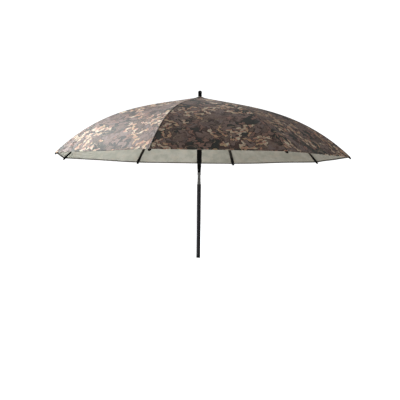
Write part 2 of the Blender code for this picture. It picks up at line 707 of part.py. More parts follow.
def clip_mesh():
    """Snap-on clevis under the rib: lips past its middle, two round ears, a slot between."""
    angles = [-math.pi * step / EAR_STEPS for step in range(EAR_STEPS + 1)]
    outline = [(-CLIP_HALF_LENGTH, CLIP_PIN_DROP + CLIP_LIP)]
    outline += [(CLIP_HALF_LENGTH, CLIP_PIN_DROP + CLIP_LIP)]
    outline += [(CLIP_HALF_LENGTH, CLIP_PIN_DROP / 2 + CLIP_LIP)]
    outline += [
        (CLIP_EAR_ROUND * math.cos(a), CLIP_EAR_ROUND * math.sin(a)) for a in angles
    ]
    outline += [(-CLIP_HALF_LENGTH, CLIP_PIN_DROP / 2 + CLIP_LIP)]
    body = plate("clip", outline, -CLIP_HALF_WIDTH, CLIP_HALF_WIDTH)
    reach = 2 * CLIP_HALF_LENGTH
    grip = [(-reach, CLIP_PIN_DROP), (0, CLIP_PIN_DROP), (reach, CLIP_PIN_DROP)]
    tunnel = rod("tunnel", grip, [RIB_RADIUS + SEAT_GAP] * len(grip), sides=EYE_SIDES)
    slot_top = EYE_RADIUS + SLOT_PLAY + SEAT_GAP
    gap = box(
        "gap", (-reach, -SLOT_HALF, -2 * CLIP_EAR_ROUND), (reach, SLOT_HALF, slot_top)
    )
    hole = across(EYE_HOLE_RADIUS, 2 * CLIP_HALF_WIDTH, 0, 0, EYE_SIDES)
    made = worked(body, ("DIFFERENCE", tunnel), ("DIFFERENCE", gap), ("DIFFERENCE", hole))
    return moved(made, clip_frame())


def rivet_mesh():
    """Rivet of a clip, with a head outside each ear."""
    head_foot = CLIP_HALF_WIDTH + SEAT_GAP
    head_top = head_foot + RIVET_HEAD_HEIGHT
    half = [
        (RIVET_HEAD_RADIUS, head_top),
        (RIVET_HEAD_RADIUS, head_foot),
        (HINGE_PIN_RADIUS, head_foot),
    ]
    profile = half + [(radius, -height) for radius, height in reversed(half)]
    rivet = turned("rivet", profile, sides=PIN_SIDES)
    return moved(rivet, clip_frame() @ Matrix.Rotation(math.pi / 2, 4, "X"))


def stretcher_mesh():
    """Straight rod with an eye at each end, from the clip's pin down to the runner."""
    x, z = HINGE_RADIUS - CLIP_PIN[0], RUNNER_HINGE_HEIGHT - CLIP_PIN[1]
    inset = (EYE_HOLE_RADIUS + EYE_RADIUS) / 2 / STRETCHER_LENGTH
    ends = [(x * share, z * share) for share in (inset, 1 - inset)]
    bar = rod("bar", ends, [STRETCHER_RADIUS] * 2)
    return worked(eye("stretcher"), ("UNION", bar), ("UNION", eye("far_eye", x, z)))


def panel_mesh():
    """Cloth over one rib, from mid-panel to mid-panel, as a thin closed shell.

    Across the panel a point runs along the straight line to the next rib. Between
    crown and hem it sags below that line by a parabola that is deepest at mid-panel.
    """
    across_panel = np.linspace(-1, 1, 2 * (PANEL_COLUMNS // 2) + 1)
    radius, side = np.meshgrid(cloth_stations(), across_panel, indexing="ij")
    span = 2 * radius * math.sin(RIB_STEP / 2)
    share = np.abs(side) * (0.5 - PANEL_GAP / 2 / span)
    height = cloth_height(radius)
    sag = PANEL_SAG * 4 * share * (1 - share) * np.sin(math.pi * radius / RIM_RADIUS)
    height = height - sag
    x = radius * ((1 - share) + share * math.cos(RIB_STEP))
    y = np.sign(side) * radius * share * math.sin(RIB_STEP)
    middle = np.stack([x - HINGE_RADIUS, y, height - CROWN_HINGE_HEIGHT], axis=2)
    normal = np.cross(np.gradient(middle, axis=0), np.gradient(middle, axis=1))
    normal /= np.linalg.norm(normal, axis=2)[..., None]
    rows, columns = radius.shape
    points = np.concatenate([middle + normal * CLOTH / 2, middle - normal * CLOTH / 2])
    points = points.reshape(-1, 3)
    under = rows * columns
    faces = []
    for row in range(rows - 1):
        for column in range(columns - 1):
            first = row * columns + column
            quad = (first, first + 1, first + columns + 1, first + columns)
            faces += [quad, tuple(under + corner for corner in reversed(quad))]
    edge = [column for column in range(columns)]
    edge += [row * columns + columns - 1 for row in range(1, rows)]
    edge += [(rows - 1) * columns + column for column in range(columns - 2, -1, -1)]
    edge += [row * columns for row in range(rows - 2, 0, -1)]
    for here, there in zip(edge, edge[1:] + edge[:1]):
        faces.append((here, there, under + there, under + here))
    return mesh_of("panel", points, faces)


def build_ribs(black, dark_rod, plated, cloth):
    """All ribs with their tips, clips, rivets, stretchers and canopy panels."""
    rib, tip, clip, rivet = rib_mesh(), tip_mesh(), clip_mesh(), rivet_mesh()
    stretcher, panel = stretcher_mesh(), panel_mesh()
    for number, turn in enumerate(around(), start=1):
        x, y = HINGE_RADIUS * math.cos(turn), HINGE_RADIUS * math.sin(turn)
        hinge = joint_axis(f"rib_axis_{number}", (x, y, CROWN_HINGE_HEIGHT), turn)
        place(f"rib_{number}", rib, dark_rod, hinge)
        place(f"rib_tip_{number}", tip, black, hinge)
        place(f"rib_clip_{number}", clip, black, hinge)
        place(f"rib_rivet_{number}", rivet, plated, hinge)
        place(f"canopy_panel_{number}", panel, cloth, hinge)
        at_clip = clip_frame().translation
        joint = joint_axis(f"stretcher_axis_{number}", at_clip, parent=hinge)
        place(f"stretcher_{number}", stretcher, dark_rod, joint)


def main():
    for item in list(bpy.data.objects):
        bpy.data.objects.remove(item)
    black = material("black_plastic", (0.020, 0.020, 0.022), 0.45)
    dark_tube = material("coated_tube", (0.045, 0.045, 0.055), 0.38, 0.3)
    dark_rod = material("coated_rod", (0.030, 0.030, 0.032), 0.40, 0.3)
    plated = material("zinc_plate", (0.56, 0.56, 0.54), 0.35, 1.0)
    cloth = material("camouflage_cloth", (0.13, 0.105, 0.085), 0.85)
    build_pole(black, dark_tube)
    build_tilt_joint(plated, black)
    build_crown(black, plated)
    build_runner(black, plated)
    build_ribs(black, dark_rod, plated, cloth)


main()
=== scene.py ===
"""Looks of an open fishing umbrella: printed canopy, sewn trim, fittings and studio.

Everything is in metres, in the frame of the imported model: the pole stands on the
origin and runs up +Z, and the viewer of the photograph looks along +Y.
"""
import json
import math

import bpy
import numpy as np
from bpy.props import FloatProperty, FloatVectorProperty, PointerProperty
from mathutils import Matrix, Vector


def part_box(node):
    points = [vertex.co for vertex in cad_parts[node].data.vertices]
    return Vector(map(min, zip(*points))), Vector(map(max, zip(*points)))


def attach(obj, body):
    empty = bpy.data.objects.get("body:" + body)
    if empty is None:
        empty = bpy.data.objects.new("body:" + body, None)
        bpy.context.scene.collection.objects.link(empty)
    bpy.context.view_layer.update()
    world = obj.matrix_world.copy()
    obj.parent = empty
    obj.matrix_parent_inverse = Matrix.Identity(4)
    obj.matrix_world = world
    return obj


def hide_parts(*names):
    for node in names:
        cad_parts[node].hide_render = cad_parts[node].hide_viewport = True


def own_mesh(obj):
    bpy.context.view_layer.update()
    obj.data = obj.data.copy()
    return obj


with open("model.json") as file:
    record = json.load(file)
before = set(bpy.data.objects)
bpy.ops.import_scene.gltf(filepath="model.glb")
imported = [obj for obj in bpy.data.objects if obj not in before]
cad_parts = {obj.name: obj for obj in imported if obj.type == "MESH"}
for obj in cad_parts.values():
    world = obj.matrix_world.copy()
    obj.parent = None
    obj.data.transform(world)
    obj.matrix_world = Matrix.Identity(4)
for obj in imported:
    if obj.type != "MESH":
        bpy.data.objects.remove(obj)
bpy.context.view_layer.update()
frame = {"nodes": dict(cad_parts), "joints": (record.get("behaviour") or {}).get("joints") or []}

bl_info = {
    "name": "Fishing umbrella looks",
    "version": (1, 0, 0),
    "blender": (4, 5, 0),
    "location": "View3D > Sidebar > Umbrella",
    "description": "Cloth, fittings, finishes and studio for a packed fishing umbrella",
    "category": "Object",
}

MILLIMETRE = 0.001
FAR = 9.0  # metres, where a piece has no crease or rib near it
SHARP = 35.0  # degrees, above which an edge isn't shaded smooth


def hinge_places():
    """Turn of each rib about the pole, and the radius and height of the crown hinges."""
    turns, places = {}, []
    for joint in frame["joints"]:
        if joint["name"].startswith("rib_hinge_"):
            x, y, z = joint["pos_m"]
            turns[int(joint["name"].rsplit("_", 1)[1])] = math.atan2(y, x)
            places.append((math.hypot(x, y), z))
    radius, height = np.mean(places, axis=0)
    return [turns[number] for number in sorted(turns)], float(radius), float(height)


RIB_TURNS, HINGE_RADIUS, HINGE_HEIGHT = hinge_places()
RIB_COUNT = len(RIB_TURNS)
RIB_STEP = math.tau / RIB_COUNT
RIB_NUMBERS = range(1, RIB_COUNT + 1)
HALF_CHORD = math.sin(RIB_STEP / 2)  # half the distance of two ribs, for a radius of one
POLE_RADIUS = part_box("lower_tube")[1].x


def length(name, text, default):
    """A size that a user may change, in metres."""
    return FloatProperty(name=name, description=text, default=default, unit="LENGTH", precision=4)


def share(name, text, default):
    """A plain number that a user may change."""
    return FloatProperty(name=name, description=text, default=default, precision=4)


def watts(name, text, default):
    """The power of a light that a user may change, in watts."""
    return FloatProperty(name=name, description=text, default=default, unit="POWER")


def colour(name, text, default):
    """A colour that a user may change."""
    return FloatVectorProperty(
        name=name, description=text, default=default, subtype="COLOR", size=3, min=0, max=1
    )


class CanopySizes(bpy.types.PropertyGroup):
    rim_radius: length("Rim radius", "Pole axis to the end of a rib tip", 1.000)
    rim_height: length("Rim height", "Pole end to the cloth at the rib ends", 0.669)
    rise: length("Rise", "Rim to the top of the dome", 0.409)
    straight_fall: share("Straight fall", "Part of the rise lost evenly", 0.5565)
    round_fall: share("Round fall", "Part of the rise lost with the square", -0.4633)
    sag: length("Sag", "Mid-panel below the line between two ribs", 0.005)
    flare: length("Flare", "Cloth drawn up round the finial", 0.008)
    flare_reach: length("Flare reach", "Radius over which the flare dies away", 0.020)
    hole: length("Hole", "Radius of the hole round the finial's stud", 0.006)
    hem_inset: length("Hem inset", "Rib tip end to the hem", 0.001)
    thickness: length("Thickness", "Thickness of the cloth", 0.0006)
    seam_width: length("Seam width", "Half width of the seam over a rib", 0.0050)
    seam_welt: length("Seam welt", "Height of the seam's folded cloth", 0.0006)
    crease_depth: length("Crease depth", "Depth of the crease in one panel", 0.006)
    fold_depth: length("Fold depth", "Depth of the folds beside one rib end", 0.0024)
    tape_width: length("Tape width", "Width of the hem tape", 0.0110)
    # Painted shade: the seal tape is wider than the seam, so that its dark colour also covers the
    # rib's shade on the lining
    seal_width: length("Seal width", "Width of the tape that seals a seam inside", 0.026)
    stitch: length("Stitch", "Length of one stitch with its gap", 0.0042)


class FittingSizes(bpy.types.PropertyGroup):
    rod: length("Rib rod", "Radius of a rib's rod", 0.0022)
    stretcher: length("Stretcher rod", "Radius of a stretcher's rod", 0.0019)
    eye: length("Eye", "Radius of the eye at the end of a rod", 0.0036)
    eye_hole: length("Eye hole", "Radius of the hole in an eye", 0.0014)
    eye_width: length("Eye width", "Half width of an eye", 0.0025)
    cloth: length("Cloth", "Thickness that the frame leaves for the cloth", 0.0012)
    cloth_gap: length("Cloth gap", "Between the cloth and what carries it", 0.0005)
    crown_blend: length("Crown blend", "Length in which a rib rises to the cloth", 0.035)
    tip_blend: length("Tip blend", "Length in which it draws off the cloth again", 0.110)
    tip_length: length("Tip length", "Length of the cap on a rib's end", 0.062)
    tip_height: length("Tip height", "Half height of the cap", 0.0050)
    tip_width: length("Tip width", "Half width of the cap", 0.0105)
    tip_bore: length("Tip bore", "Cap's end to the rod inside it", 0.018)
    wall: length("Tube wall", "Wall of the pole's tubes", 0.0016)
    seat_gap: length("Seat gap", "Between pieces that plug into each other", 0.0003)
    stud: length("Stud", "Radius of the finial's stud", 0.0040)
    stud_depth: length("Stud depth", "Length of the finial's stud", 0.0120)
    cone_bore: length("Cone bore", "Radius inside the cone over the tilt joint", 0.0080)
    cone_foot: length("Cone foot", "Radius of the cone's lower end", 0.0107)
    cone_straight: length("Cone straight", "Straight part at the cone's lower end", 0.004)
    cone_band: length("Cone band", "Straight part at the cone's upper end", 0.011)
    play: length("Runner play", "Between the tube and the runner round it", 0.0005)
    sleeve: length("Sleeve", "Radius of the runner's sleeve", 0.0165)
    hub: length("Hub", "Half height of the runner's hub", 0.0090)
    hub_flare: length("Hub flare", "Height in which the sleeve widens to the hub", 0.0150)
    hub_neck: length("Hub neck", "Radius of the neck on the hub", 0.0185)
    hub_neck_height: length("Hub neck height", "Height of the neck on the hub", 0.0070)
    slot: length("Slot", "Half width of a slot in the runner's hub", 0.00285)
    slot_floor: length("Slot floor", "Pole axis to the floor of a slot", 0.0187)
    boss: length("Boss", "Radius of the lock pin's boss", 0.0070)
    boss_face: length("Boss face", "Pole axis to the boss's face", 0.0200)
    lock_hole: length("Lock hole", "Radius of the lock pin's holes", 0.0028)


class PrintColours(bpy.types.PropertyGroup):
    ground: colour("Ground", "Dark purplish brown ground", (0.120, 0.074, 0.060))
    bark: colour("Bark", "Greyish brown", (0.285, 0.193, 0.157))
    moss: colour("Moss", "Dark green grey", (0.044, 0.053, 0.045))
    shadow: colour("Shadow", "Nearly black brown", (0.018, 0.012, 0.010))
    rust: colour("Rust", "Reddish dead leaves", (0.620, 0.290, 0.200))
    tan: colour("Tan", "Yellowish dry leaves", (0.750, 0.560, 0.330))
    cream: colour("Cream", "Palest dry leaves", (0.860, 0.770, 0.570))
    stone: colour("Stone", "Purplish grey", (0.330, 0.255, 0.240))
    lining: colour("Lining", "Plain inner side of the cloth", (0.420, 0.410, 0.360))
    thread: colour("Thread", "Sewing thread", (0.030, 0.027, 0.022))
    seal: colour("Seal", "Tape that seals the seams inside", (0.045, 0.040, 0.035))


class FittingColours(bpy.types.PropertyGroup):
    plastic: colour("Plastic", "Moulded black plastic", (0.0035, 0.0035, 0.004))
    tube: colour("Tube", "Coating of the pole's tubes", (0.026, 0.026, 0.032))
    rod: colour("Rod", "Coating of ribs and stretchers", (0.008, 0.008, 0.009))
    zinc: colour("Zinc", "Bright zinc plate", (0.400, 0.400, 0.390))


class StudioSettings(bpy.types.PropertyGroup):
    lens: FloatProperty(name="Lens", description="Focal length", default=66.24, unit="CAMERA")
    distance: length("Distance", "Camera to the pole", 4.939)
    height: length("Height", "Camera above the pole's end", 0.4309)
    roll: FloatProperty(
        name="Roll", description="Turn of the camera about its view",
        default=math.radians(0.622), subtype="ANGLE",
    )
    shift_x: share("Shift across", "Share of the frame's width", 0.00275)
    shift_y: share("Shift up", "Share of the frame's width", -0.01615)
    sky: share("Sky", "Strength of the white surroundings", 0.31)
    glow: share("Glow", "Light of the floor and backdrop themselves", 1.0)
    key: watts("Key", "Key light", 640.0)
    fill: watts("Fill", "Low light under the canopy", 12.0)
    veil: watts("Veil", "Light that the cloth mirrors", 290.0)
    base: watts("Base", "Soft light from below", 9.5)
    side: watts("Side", "Low soft light from the left", 36.0)
    floor: colour("Floor", "Pale floor and backdrop", (0.50, 0.50, 0.495))


class Skin:
    """Points, faces and flat coordinates of one piece, gathered as whole arrays."""

    def __init__(self):
        self.points, self.faces, self.corners, self.slots = [], [], [], []
        self.count = 0

    def add(self, points, faces, corners=None, slot=0):
        """Adds points and the faces on them, and returns where the points start."""
        start = self.count
        self.points.append(points.reshape(-1, 3))
        self.count += len(self.points[-1])
        self.cover(start, faces, corners, slot)
        return start

    def cover(self, start, faces, corners=None, slot=0):
        """Adds faces on the points from start. Each corner has its place on the cloth's
        roll, its distance from the crease, and its distance from the rib, which place
        the painted shade and painted highlight on the printed cloth."""
        given = np.full((faces.size, 4), FAR)
        given[:, :2] = 0.0
        if corners is not None:
            corners = corners.reshape(faces.size, -1)
            given[:, : corners.shape[1]] = corners
        self.faces.append(faces + start)
        self.corners.append(given)
        self.slots.append(np.broadcast_to(slot, len(faces)))

    def object(self, name, sharp=SHARP):
        """The piece as an object at the origin, shaded smooth but for its sharp edges."""
        points = np.concatenate(self.points).astype(np.float32)
        sizes = np.concatenate([np.full(len(f), f.shape[1]) for f in self.faces])
        loops = np.concatenate([f.ravel() for f in self.faces])
        mesh = bpy.data.meshes.new(name)
        mesh.vertices.add(len(points))
        mesh.vertices.foreach_set("co", points.ravel())
        mesh.loops.add(len(loops))
        mesh.loops.foreach_set("vertex_index", loops.astype(np.int32))
        mesh.polygons.add(len(sizes))
        starts = np.concatenate([[0], np.cumsum(sizes)[:-1]]).astype(np.int32)
        mesh.polygons.foreach_set("loop_start", starts)
        mesh.polygons.foreach_set("material_index", np.concatenate(self.slots).astype(np.int32))
        corners = np.concatenate(self.corners).astype(np.float32)
        for number, layer in enumerate(("cut", "seams")):
            flat = mesh.uv_layers.new(name=layer)
            flat.uv.foreach_set("vector", corners[:, 2 * number: 2 * number + 2].ravel())
        mesh.update(calc_edges=True)
        mesh.validate()
        mesh.shade_smooth()
        mesh.set_sharp_from_angle(angle=math.radians(sharp))
        piece = bpy.data.objects.new(name, mesh)
        bpy.context.scene.collection.objects.link(piece)
        return piece


def quads(rows, columns, around=False):
    """Faces of a grid whose rows may close on themselves, anticlockwise for rows going up."""
    index = np.arange(rows * columns).reshape(rows, columns)
    if around:
        index = np.concatenate([index, index[:, :1]], axis=1)
    faces = np.stack([index[:-1, :-1], index[:-1, 1:], index[1:, 1:], index[1:, :-1]], axis=-1)
    return faces.reshape(-1, 4)


def outwards(points, faces):
    """The faces, turned over if the closed surface that they make is inside out."""
    at = points.reshape(-1, 3)[faces]
    middle = at.reshape(-1, 3).mean(axis=0)
    at = at - middle
    volume = np.einsum("ij,ij->i", at[:, 0], np.cross(at[:, 1], at[:, 2])).sum()
    if faces.shape[1] == 4:
        volume += np.einsum("ij,ij->i", at[:, 0], np.cross(at[:, 2], at[:, 3])).sum()
    return faces[:, ::-1] if volume < 0 else faces


def add_bar(skin, rings, slot=0, closed=False, flat=None):
    """Adds a skin over rings of points, (rings, sides, 3), with a fan on each end.

    A fan's faces join a ring to its middle point. Closed rings join end to end instead.
    Flat holds a place on the cloth's roll for each point. Slot may hold one for each side.
    """
    count, sides = rings.shape[:2]
    if closed:
        faces = quads(count + 1, sides, around=True) % (count * sides)
        skin.add(rings, outwards(rings, faces), slot=slot)
        return
    if flat is None:
        flat = np.zeros((count, sides, 2))
    points, flat = (
        np.concatenate([rows.reshape(-1, rows.shape[-1]), [rows[0].mean(0)], [rows[-1].mean(0)]])
        for rows in (rings, flat)
    )
    body = quads(count, sides, around=True)
    side = np.arange(sides)
    after = (side + 1) % sides
    last = (count - 1) * sides
    fans = np.concatenate([
        np.stack([after, side, np.full(sides, count * sides)], axis=-1),
        np.stack([last + side, last + after, np.full(sides, count * sides + 1)], axis=-1),
    ])
    turned = outwards(points, body)
    if not np.array_equal(turned, body):
        fans = fans[:, ::-1]
    slots = np.broadcast_to(slot, sides)
    start = skin.add(points, turned, flat[turned], np.tile(slots, count - 1))
    skin.cover(start, fans, flat[fans], np.tile(slots, 2))


def bar_piece(name, rings, sharp=SHARP, **settings):
    """Piece of one bar, with the settings of add_bar."""
    skin = Skin()
    add_bar(skin, rings, **settings)
    return skin.object(name, sharp)


def turned_rings(profile, sides):
    """Rings about Z through (radius, height) points."""
    profile = np.array(profile, float)
    angles = math.tau * np.arange(sides) / sides
    around = np.stack([np.cos(angles), np.sin(angles)], axis=-1)
    flat = profile[:, None, :1] * around[None]
    height = np.broadcast_to(profile[:, None, 1:], (len(profile), sides, 1))
    return np.concatenate([flat, height], axis=-1)


def unit(value):
    """The value kept between 0 and 1."""
    return np.clip(value, 0, 1)


def smooth(value):
    """Smooth rise from 0 to 1: three squares less two cubes."""
    value = unit(value)
    return value * value * (3 - 2 * value)


def bell(value, centre, width):
    """Bell curve: 1 at the centre, and e to the minus square of the distance in widths."""
    return np.exp(-(((value - centre) / width) ** 2))


def unit_length(vectors):
    """The vectors, each made one long."""
    return vectors / np.linalg.norm(vectors, axis=-1, keepdims=True)


def turned_by(points, turn):
    """The first two coordinates of the points, turned anticlockwise."""
    x, y = points[..., 0], points[..., 1]
    return x * math.cos(turn) - y * math.sin(turn), x * math.sin(turn) + y * math.cos(turn)


def stations(start, *stretches):
    """Numbers from start on, in stretches given as (end, count with both ends)."""
    parts = []
    for end, count in stretches:
        parts.append(np.linspace(start, end, count)[:-1])
        start = end
    return np.concatenate([*parts, [start]])


def panel_before(number):
    """Number of the panel on the other side of a rib."""
    return (number - 2) % RIB_COUNT + 1


ARC_STEPS = 2000  # for the length of the cloth over the dome
NEAR_LEFT = 6  # panel after rib 6, the one that the photograph shows brightly lit
NEAR_RIGHT = 8  # panel after rib 8

# Relief of the cloth, in metres
WAVE_HEIGHT = 0.0011
FAN_HEIGHT = 0.0013  # wrinkles that fan out from a rib's end
FAN_RAYS = 9
FAN_REACH = 0.13
FAN_START = 0.04  # distance from the rib at which they are full

# One crease. Its places are a radius and a share of the way between the ribs.
CREASE_START = (0.77, 0.0)
CREASE_AT_HEM = 0.335
CREASE_VALLEY = (0.004, 0.011)  # centre and width, to the right of its line
CREASE_RIDGE = (-0.018, 0.016)
CREASE_PUFF = (-0.075, 0.055)
PUFF_HEIGHT = 0.010

FOLDS = (  # start, place at the hem, depth
    ((0.80, 0.01), 0.17, 1.0),
    ((0.85, 0.00), 0.09, 0.7),
    ((0.76, 0.05), 0.27, 0.5),
)
FOLD_WIDTH = 0.014
FOLD_RIDGE = -0.025  # its centre, to the right of the fold's line


class Canopy:
    """The canopy's surface. A panel's point is given by the radius along its ribs and the
    share of the way from its first rib (0) to its second (1).
    """

    def __init__(self, sizes):
        self.sizes = sizes
        self.hem = sizes.rim_radius - sizes.hem_inset
        fine = np.linspace(0, sizes.rim_radius, ARC_STEPS + 1)
        rise = np.diff(self.height(fine))
        steps = np.hypot(np.diff(fine) * math.cos(RIB_STEP / 2), rise)
        self.fine, self.arc = fine, np.concatenate([[0], np.cumsum(steps)])

    def height(self, radius):
        """Height over a rib: a cubic fall from the top, plus a bell-shaped flare."""
        sizes = self.sizes
        part = radius / sizes.rim_radius
        cube = 1 - sizes.straight_fall - sizes.round_fall
        fall = sizes.straight_fall * part + sizes.round_fall * part**2 + cube * part**3
        flare = sizes.flare * bell(radius, 0, sizes.flare_reach)
        return sizes.rim_height + sizes.rise * (1 - fall) + flare

    def flat(self, radius, way):
        """Place in the cut cloth of a panel: across its middle line, and along it."""
        across = (way - 0.5) * 2 * radius * HALF_CHORD
        return across, np.interp(radius, self.fine, self.arc)

    def relief(self, panel, radius, way):
        """Height added to the taut cloth, nothing at the ribs.

        Slow waves, wrinkles that fan out from the rib ends and fade with distance from
        them, one long crease in the near right panel and folds at the near left rib.
        """
        across, along = self.flat(radius, way)
        rim = self.sizes.rim_radius
        middle, part = 4 * way * (1 - way), radius / rim
        slow = np.sin(9.1 * along + 2.3 * panel) * np.sin(11.7 * across + 1.1 * panel + 0.6)
        quick = 0.6 * np.sin(17.3 * along - 6.0 * across + 4.1 * panel)
        lift = WAVE_HEIGHT * (slow + quick) * middle * part
        for side, gone in enumerate((way, 1 - way)):
            sideways, inward = gone * 2 * radius * HALF_CHORD, rim - radius
            angle = np.arctan2(sideways, inward + 1e-9)
            fan = np.sin(FAN_RAYS * angle + 2.1 * panel + 3.0 * side)
            fade = np.exp(-np.hypot(sideways, inward) / FAN_REACH)
            lift += FAN_HEIGHT * fan * fade * unit(sideways / FAN_START)
        if panel == NEAR_RIGHT:
            lift += self.crease(across, along, part) * unit(middle / 0.12)
        if panel == NEAR_LEFT:
            lift += self.folds(across, along) * unit(way / 0.02)
        return lift

    def line_distance(self, across, along, first, last):
        """Distance to the right of the line between two (radius, way) points, and the
        share of the way along it."""
        start = np.array([float(v) for v in self.flat(*first)])
        end = np.array([float(v) for v in self.flat(*last)])
        span = float(np.hypot(*(end - start)))
        ahead = (end - start) / span
        x, y = across - start[0], along - start[1]
        return x * ahead[1] - y * ahead[0], (x * ahead[0] + y * ahead[1]) / span

    def crease_distance(self, across, along):
        """Distance to the right of the crease, and the share of the way along it."""
        return self.line_distance(across, along, CREASE_START, (self.hem, CREASE_AT_HEM))

    def crease(self, across, along, part):
        """A valley and a ridge along a line that leaves the rib and meets the hem, with
        the cloth before it puffed up towards the hem. All three are bell curves."""
        off, gone = self.crease_distance(across, along)
        taper = unit(gone / 0.25) ** 2 * np.clip((1.02 - gone) / 0.25, 0.25, 1)
        depth = self.sizes.crease_depth * taper
        shape = 0.55 * bell(off, *CREASE_RIDGE) - bell(off, *CREASE_VALLEY)
        puff = PUFF_HEIGHT * bell(off, *CREASE_PUFF) * unit(2.2 * part - 1.2)
        return depth * shape + puff * unit((1 - part) / 0.10)

    def folds(self, across, along):
        """Valleys with a ridge beside each, from beside the rib down to the hem."""
        lift = 0
        for first, at_hem, scale in FOLDS:
            off, gone = self.line_distance(across, along, first, (self.hem, at_hem))
            depth = scale * self.sizes.fold_depth * unit(gone / 0.3) * unit(1.6 - gone)
            ridge = 0.6 * bell(off, FOLD_RIDGE, FOLD_WIDTH)
            lift = lift + depth * (ridge - bell(off, 0, FOLD_WIDTH))
        return lift

    def point(self, panel, radius, way):
        """Middle of the cloth: along the line between two ribs, with sag and relief."""
        first = RIB_TURNS[panel - 1]
        second = first + RIB_STEP
        x = radius * ((1 - way) * math.cos(first) + way * math.cos(second))
        y = radius * ((1 - way) * math.sin(first) + way * math.sin(second))
        part = radius / self.sizes.rim_radius
        sag = self.sizes.sag * 4 * way * (1 - way) * np.sin(math.pi * part)
        z = self.height(radius) - sag + self.relief(panel, radius, way)
        return np.stack([x, y, z], axis=-1)

    def normal(self, panel, radius, way):
        """Upward normal, from the differences to points close by on the same panel."""
        step = 0.2 * MILLIMETRE
        turn = step / np.maximum(radius, step)
        along = self.point(panel, radius + step, way) - self.point(panel, radius - step, way)
        across = self.point(panel, radius, way + turn) - self.point(panel, radius, way - turn)
        return unit_length(np.cross(along, across))

    def half(self, panel, radius, lateral, second=False):
        """Points and normals beside the first rib of a panel, or beside its second one,
        at a lateral distance from that rib."""
        way = np.clip(lateral / (2 * np.maximum(radius, 1e-6) * HALF_CHORD), 0, 0.5)
        way = 1 - way if second else way
        return way, self.point(panel, radius, way), self.normal(panel, radius, way)

    def over_rib(self, number, radius, lateral):
        """Points and normals from the panel before a rib to the panel after it, and the
        shares of the way on both. Lateral, the distance from the rib, starts with 0,
        where the normal is the mean of both panels' normals."""
        way_a, points_a, normals_a = self.half(panel_before(number), radius, lateral, True)
        way_b, points_b, normals_b = self.half(number, radius, lateral)
        ridge = unit_length(normals_a[..., 0, :] + normals_b[..., 0, :])
        normals_a[..., 0, :] = normals_b[..., 0, :] = ridge
        points = np.concatenate([points_a[..., :0:-1, :], points_b], axis=-2)
        normals = np.concatenate([normals_a[..., :0:-1, :], normals_b], axis=-2)
        return points, normals, way_a, way_b


SEAM_COLUMNS = (0, 0.2, 0.4, 0.55, 0.7, 0.85, 1.0)


def sheet_grid(canopy, number):
    """Grid over one rib, from mid-panel to mid-panel: points, normals, flat coordinates
    for the corners on either side of the rib, and distance from the rib.

    Rows go out from the crown to the hem. Columns go from the panel before the rib to
    the panel after it, close together over the seam.
    """
    sizes = canopy.sizes
    radii = stations(sizes.hole, (0.06, 12), (0.95, 110), (canopy.hem, 8))[:, None]
    half_width = radii * HALF_CHORD
    seam = np.minimum(sizes.seam_width * 1.4, 0.35 * half_width)
    close = np.array(SEAM_COLUMNS)[None]
    rest = np.linspace(0, 1, 34)[None, 1:]
    lateral = np.concatenate([close * seam, seam + rest * (half_width - seam)], axis=1)
    radius = np.broadcast_to(radii, lateral.shape)
    points, normals, way_a, way_b = canopy.over_rib(number, radius, lateral)
    away = np.concatenate([lateral[:, :0:-1], lateral], axis=1)
    flat_a = np.stack(canopy.flat(radius, way_a), axis=-1)[:, ::-1]
    flat_b = np.stack(canopy.flat(radius, way_b), axis=-1)
    return points, normals, flat_a, flat_b, away


PRINT_SHIFT = (1.37, 2.11)  # metres that each panel's cut moves along the printed roll
PRINT_TURNS = (0.2, 1.7, -0.4, 2.6, 0.9, 1.35, 0.0, -0.25)  # radians, of each panel's cut
SEAM_SHADE_NARROWING = {1: 0.35, 7: 0.8, 8: 3.0}  # a seam's band of painted shade is narrower by this factor
SEAM_SHADE_NARROWING_ELSEWHERE = 1.4
STITCH_LINE = 0.66  # a seam's stitches and their grooves, as a share of its half width


def on_roll(flat, panel):
    """Place of a panel's cut on the printed roll: turned, then moved."""
    x, y = turned_by(flat, PRINT_TURNS[panel - 1])
    return np.stack([x + PRINT_SHIFT[0] * panel, y + PRINT_SHIFT[1] * panel], axis=-1)


def cells(grid):
    """The four corners of each cell of a grid, the next row before the next column."""
    return np.stack([grid[:-1, :-1], grid[1:, :-1], grid[1:, 1:], grid[:-1, 1:]], axis=2)


